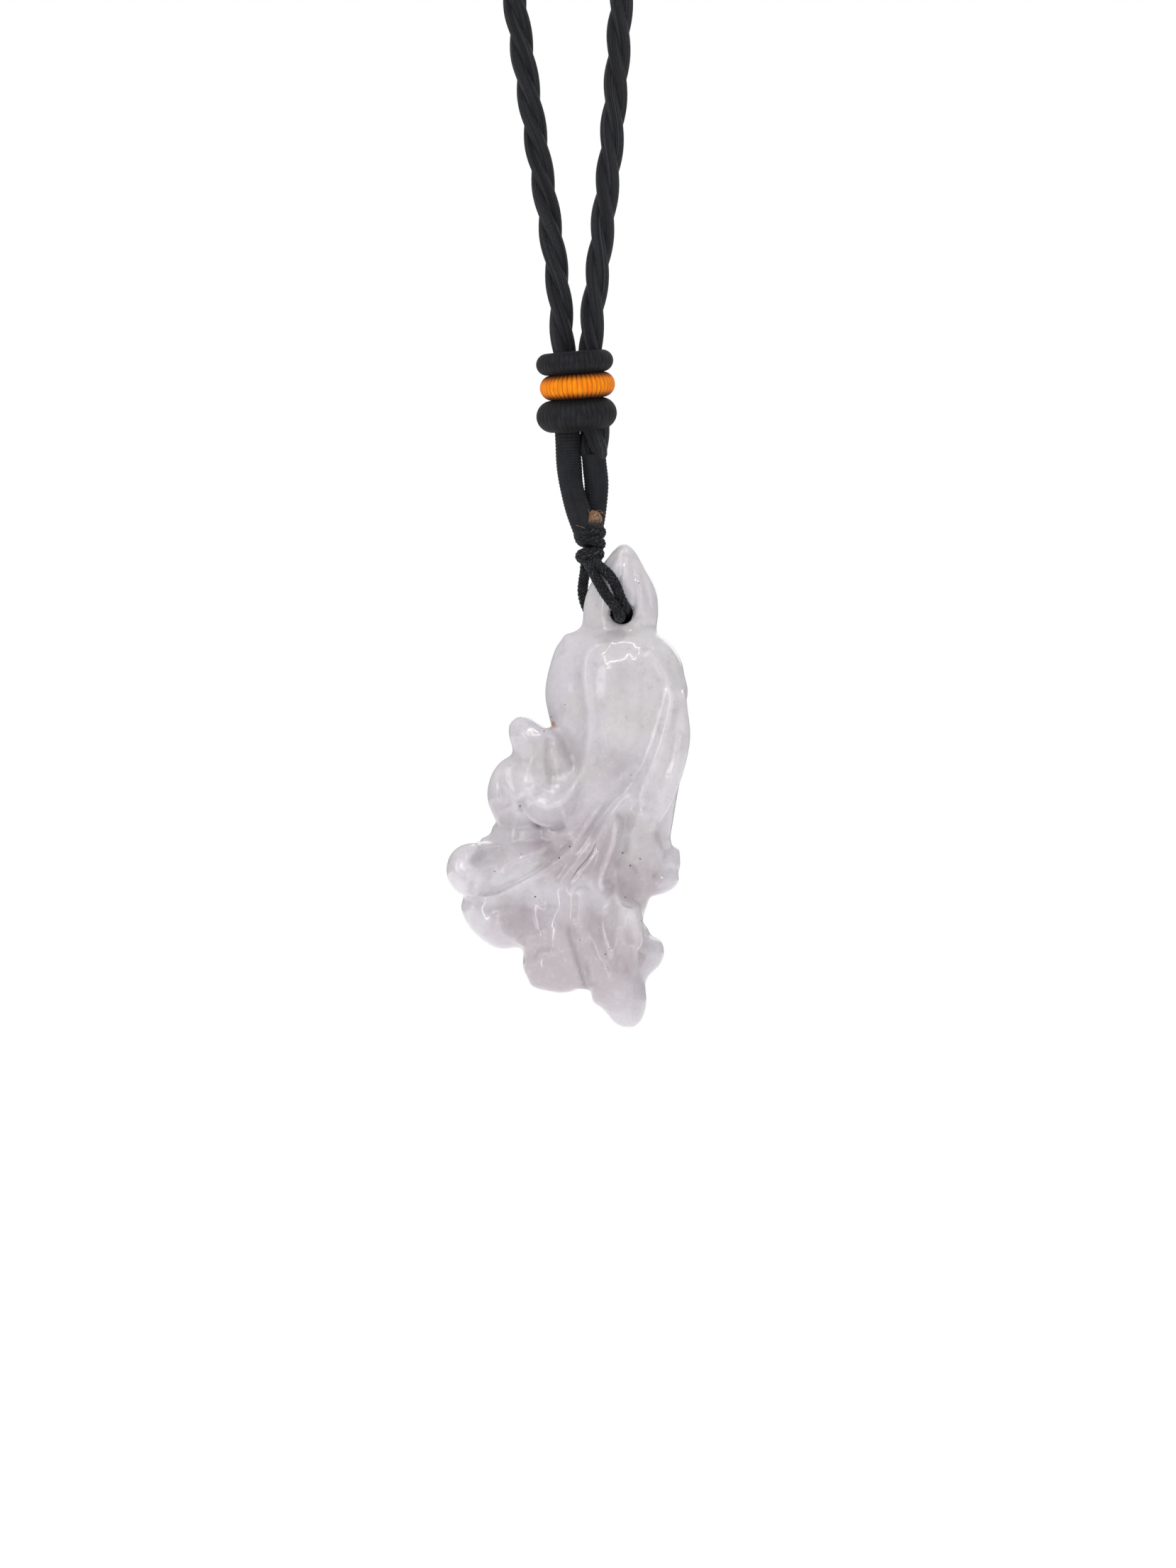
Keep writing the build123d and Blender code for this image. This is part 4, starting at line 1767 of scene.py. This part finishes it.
@dataclass
class Studio:
    """The camera, the pale floor and the soft lights."""

    floor_height: float = -440.0 * MM
    floor_half: float = 0.75
    panels: Sequence[Panel] = PANELS
    ring_middle: Point = (0.02, -0.13, -0.10)
    ring_half: float = 62.0 * MM
    ring_band: float = 2.4 * MM
    ring_power: float = 0.030
    room_light: Sequence[tuple[float, float]] = ((0.0, 0.50), (0.36, 0.40), (0.56, 0.40), (1.0, 1.0))

    def camera(self) -> None:
        """The camera at the photograph's angle, level with the middle of its frame."""
        data = bpy.data.cameras.new("photo_camera")
        data.sensor_width = 36.0
        data.lens = data.sensor_width * CAMERA_DISTANCE / (FRAME_PIXELS[1] * PIXEL)
        data.clip_start = 0.01
        camera = bpy.data.objects.new("photo_camera", data)
        camera.location = (0.0, -CAMERA_DISTANCE, CAMERA_HEIGHT)
        camera.rotation_euler = (pi / 2, 0.0, 0.0)
        bpy.context.scene.collection.objects.link(camera)
        bpy.context.scene.camera = camera

    def floor(self) -> None:
        """A plain pale floor under the hanging stone."""
        work = bmesh.new()
        bmesh.ops.create_circle(work, cap_ends=True, segments=96, radius=self.floor_half)
        bmesh.ops.translate(work, verts=work.verts, vec=(0.0, 0.0, self.floor_height))
        mesh = from_bmesh(work, "pale_floor")
        mesh.materials.append(FloorFinish().material())
        floor = bpy.data.objects.new("pale_floor", mesh)
        bpy.context.scene.collection.objects.link(floor)

    def lights(self) -> None:
        """The panels, and a narrow frame of light that draws the thin highlights."""
        for panel in self.panels:
            panel.hang()
        middle, half = Vector(self.ring_middle), self.ring_half
        away = (Vector(STONE_MIDDLE) - middle).normalized()
        right = away.cross(Vector((0.0, 0.0, 1.0))).normalized()
        up = right.cross(away)
        for index, (side, rise) in enumerate(((0, 1), (0, -1), (1, 0), (-1, 0))):
            spot = middle + right * (side * half) + up * (rise * half)
            wide, high = (2 * half, self.ring_band) if rise else (self.ring_band, 2 * half)
            aim = tuple(spot + away)
            Panel(f"frame_strip_{index}", tuple(spot), aim, wide, high, self.ring_power).hang()

    def sky(self) -> None:
        """A white room: plain white behind the object, and softer light on it, most from above."""
        world = bpy.data.worlds.new("white_room")
        world.use_nodes = True
        nodes = NodeMaker(world.node_tree, world.node_tree.nodes["Background"])
        way = nodes.node("ShaderNodeTexCoord", out="Generated")
        rise = nodes.node("ShaderNodeSeparateXYZ", inputs={0: way}, out="Z") * 0.5 + 0.5
        stops = [(place, (light, light, light, 1.0)) for place, light in self.room_light]
        glow = nodes.node("ShaderNodeValToRGB", {"stops": stops}, {0: rise})
        seen = nodes.node("ShaderNodeLightPath", out="Is Camera Ray")
        nodes.set(Color=nodes.blend(seen, glow, WHITE))
        bpy.context.scene.world = world
        bpy.context.scene.view_settings.view_transform = "Standard"

    def dress(self) -> None:
        """Everything but the camera."""
        self.floor()
        self.lights()
        self.sky()


# ---------------------------------------------------------------- routes


ROPE_ROUTE = in_metres(
    (-2.33, 0.48, -308.7), (-2.6, -0.62, -300.2), (-3.5, -0.6, -290.8), (-6.1, -0.35, -275.2),
    (-8.5, -0.1, -259.0), (-13.0, 0.0, -229.0), (-19.4, 0.0, -186.0), (-25.6, 0.0, -140.0),
    (-30.0, 0.0, -94.0), (-31.6, 0.0, -56.0), (-29.2, 0.0, -27.0), (-21.4, 0.0, -7.6),
    (-9.5, 0.0, 1.35), (9.5, 0.0, 1.35), (21.0, 0.0, -7.6), (28.0, 0.0, -27.0),
    (29.4, 0.0, -56.0), (26.0, 0.0, -94.0), (20.0, 0.0, -140.0), (12.4, 0.0, -186.0),
    (6.6, 0.0, -229.0), (3.75, -0.1, -259.0), (2.9, -0.35, -275.2), (1.35, -0.6, -289.8),
    (0.1, -0.62, -300.2), (0.6, 0.5, -308.5), (0.85, 0.8, -313.3),
)
EYE_ROUTE = in_metres(
    (-2.3, 0.2, -307.6), (-2.22, 0.4, -309.82), (-2.08, 0.82, -313.0), (-1.72, 0.1, -316.2),
    (-0.2, -1.2, -320.7), (0.1, 1.4, -320.7), (1.05, 1.12, -315.9), (0.67, 0.82, -312.82),
    (0.62, 0.7, -311.9),
)
LEFT_ROUTE = in_metres(
    (-0.05, -0.75, -323.45), (0.11, -1.25, -324.14), (0.49, -1.9, -324.85), (1.2, -2.85, -326.26),
    (1.75, -3.5, -327.25), (2.24, -4.05, -328.0), (2.75, -4.35, -328.65), (3.13, -4.4, -329.25),
    (3.37, -4.05, -329.72), (3.42, -3.3, -329.87), (3.37, -2.4, -329.84), (2.95, -1.0, -329.44),
    (3.02, 0.8, -328.98), (3.58, 2.5, -328.68), (3.6, 3.7, -328.6), (3.04, 3.65, -327.1),
    (1.99, 3.3, -325.8), (1.24, 2.2, -324.65), (1.19, 1.85, -324.15), (0.9, 1.4, -323.45),
)
RIGHT_ROUTE = in_metres(
    (0.5, -1.0, -323.4), (1.06, -1.6, -324.14), (1.63, -2.25, -324.67), (2.38, -2.95, -325.43),
    (3.03, -3.4, -326.6), (3.4, -3.6, -327.75), (3.74, -3.6, -328.45), (3.88, -3.1, -328.76),
    (3.87, -2.4, -328.74), (4.31, -0.9, -329.08), (4.22, 0.8, -329.62), (3.69, 2.5, -329.92),
    (3.4, 4.3, -330.0), (2.2, 5.2, -329.9), (0.8, 5.3, -329.3), (-0.02, 4.7, -328.5),
    (-0.43, 4.0, -327.5), (-0.6, 3.3, -326.5), (-0.5, 2.4, -325.5), (-0.33, 1.6, -324.6),
    (-0.3, 1.2, -324.1), (-0.2, 0.9, -323.4),
)


def main() -> None:
    """Builds the pendant piece by piece: the camera and the cords first."""
    logging.basicConfig(level=logging.INFO, format="%(message)s")
    studio = Studio()
    studio.camera()
    NeckRope(ROPE_ROUTE).dress()
    ThinCord(LEFT_ROUTE, RIGHT_ROUTE).dress()
    BoundEye(EYE_ROUTE).dress()
    Hitch().dress()
    WoundBead().dress()
    SingedEnd().dress()
    CarvedStone().dress()
    studio.dress()


if __name__ == "__main__":
    main()
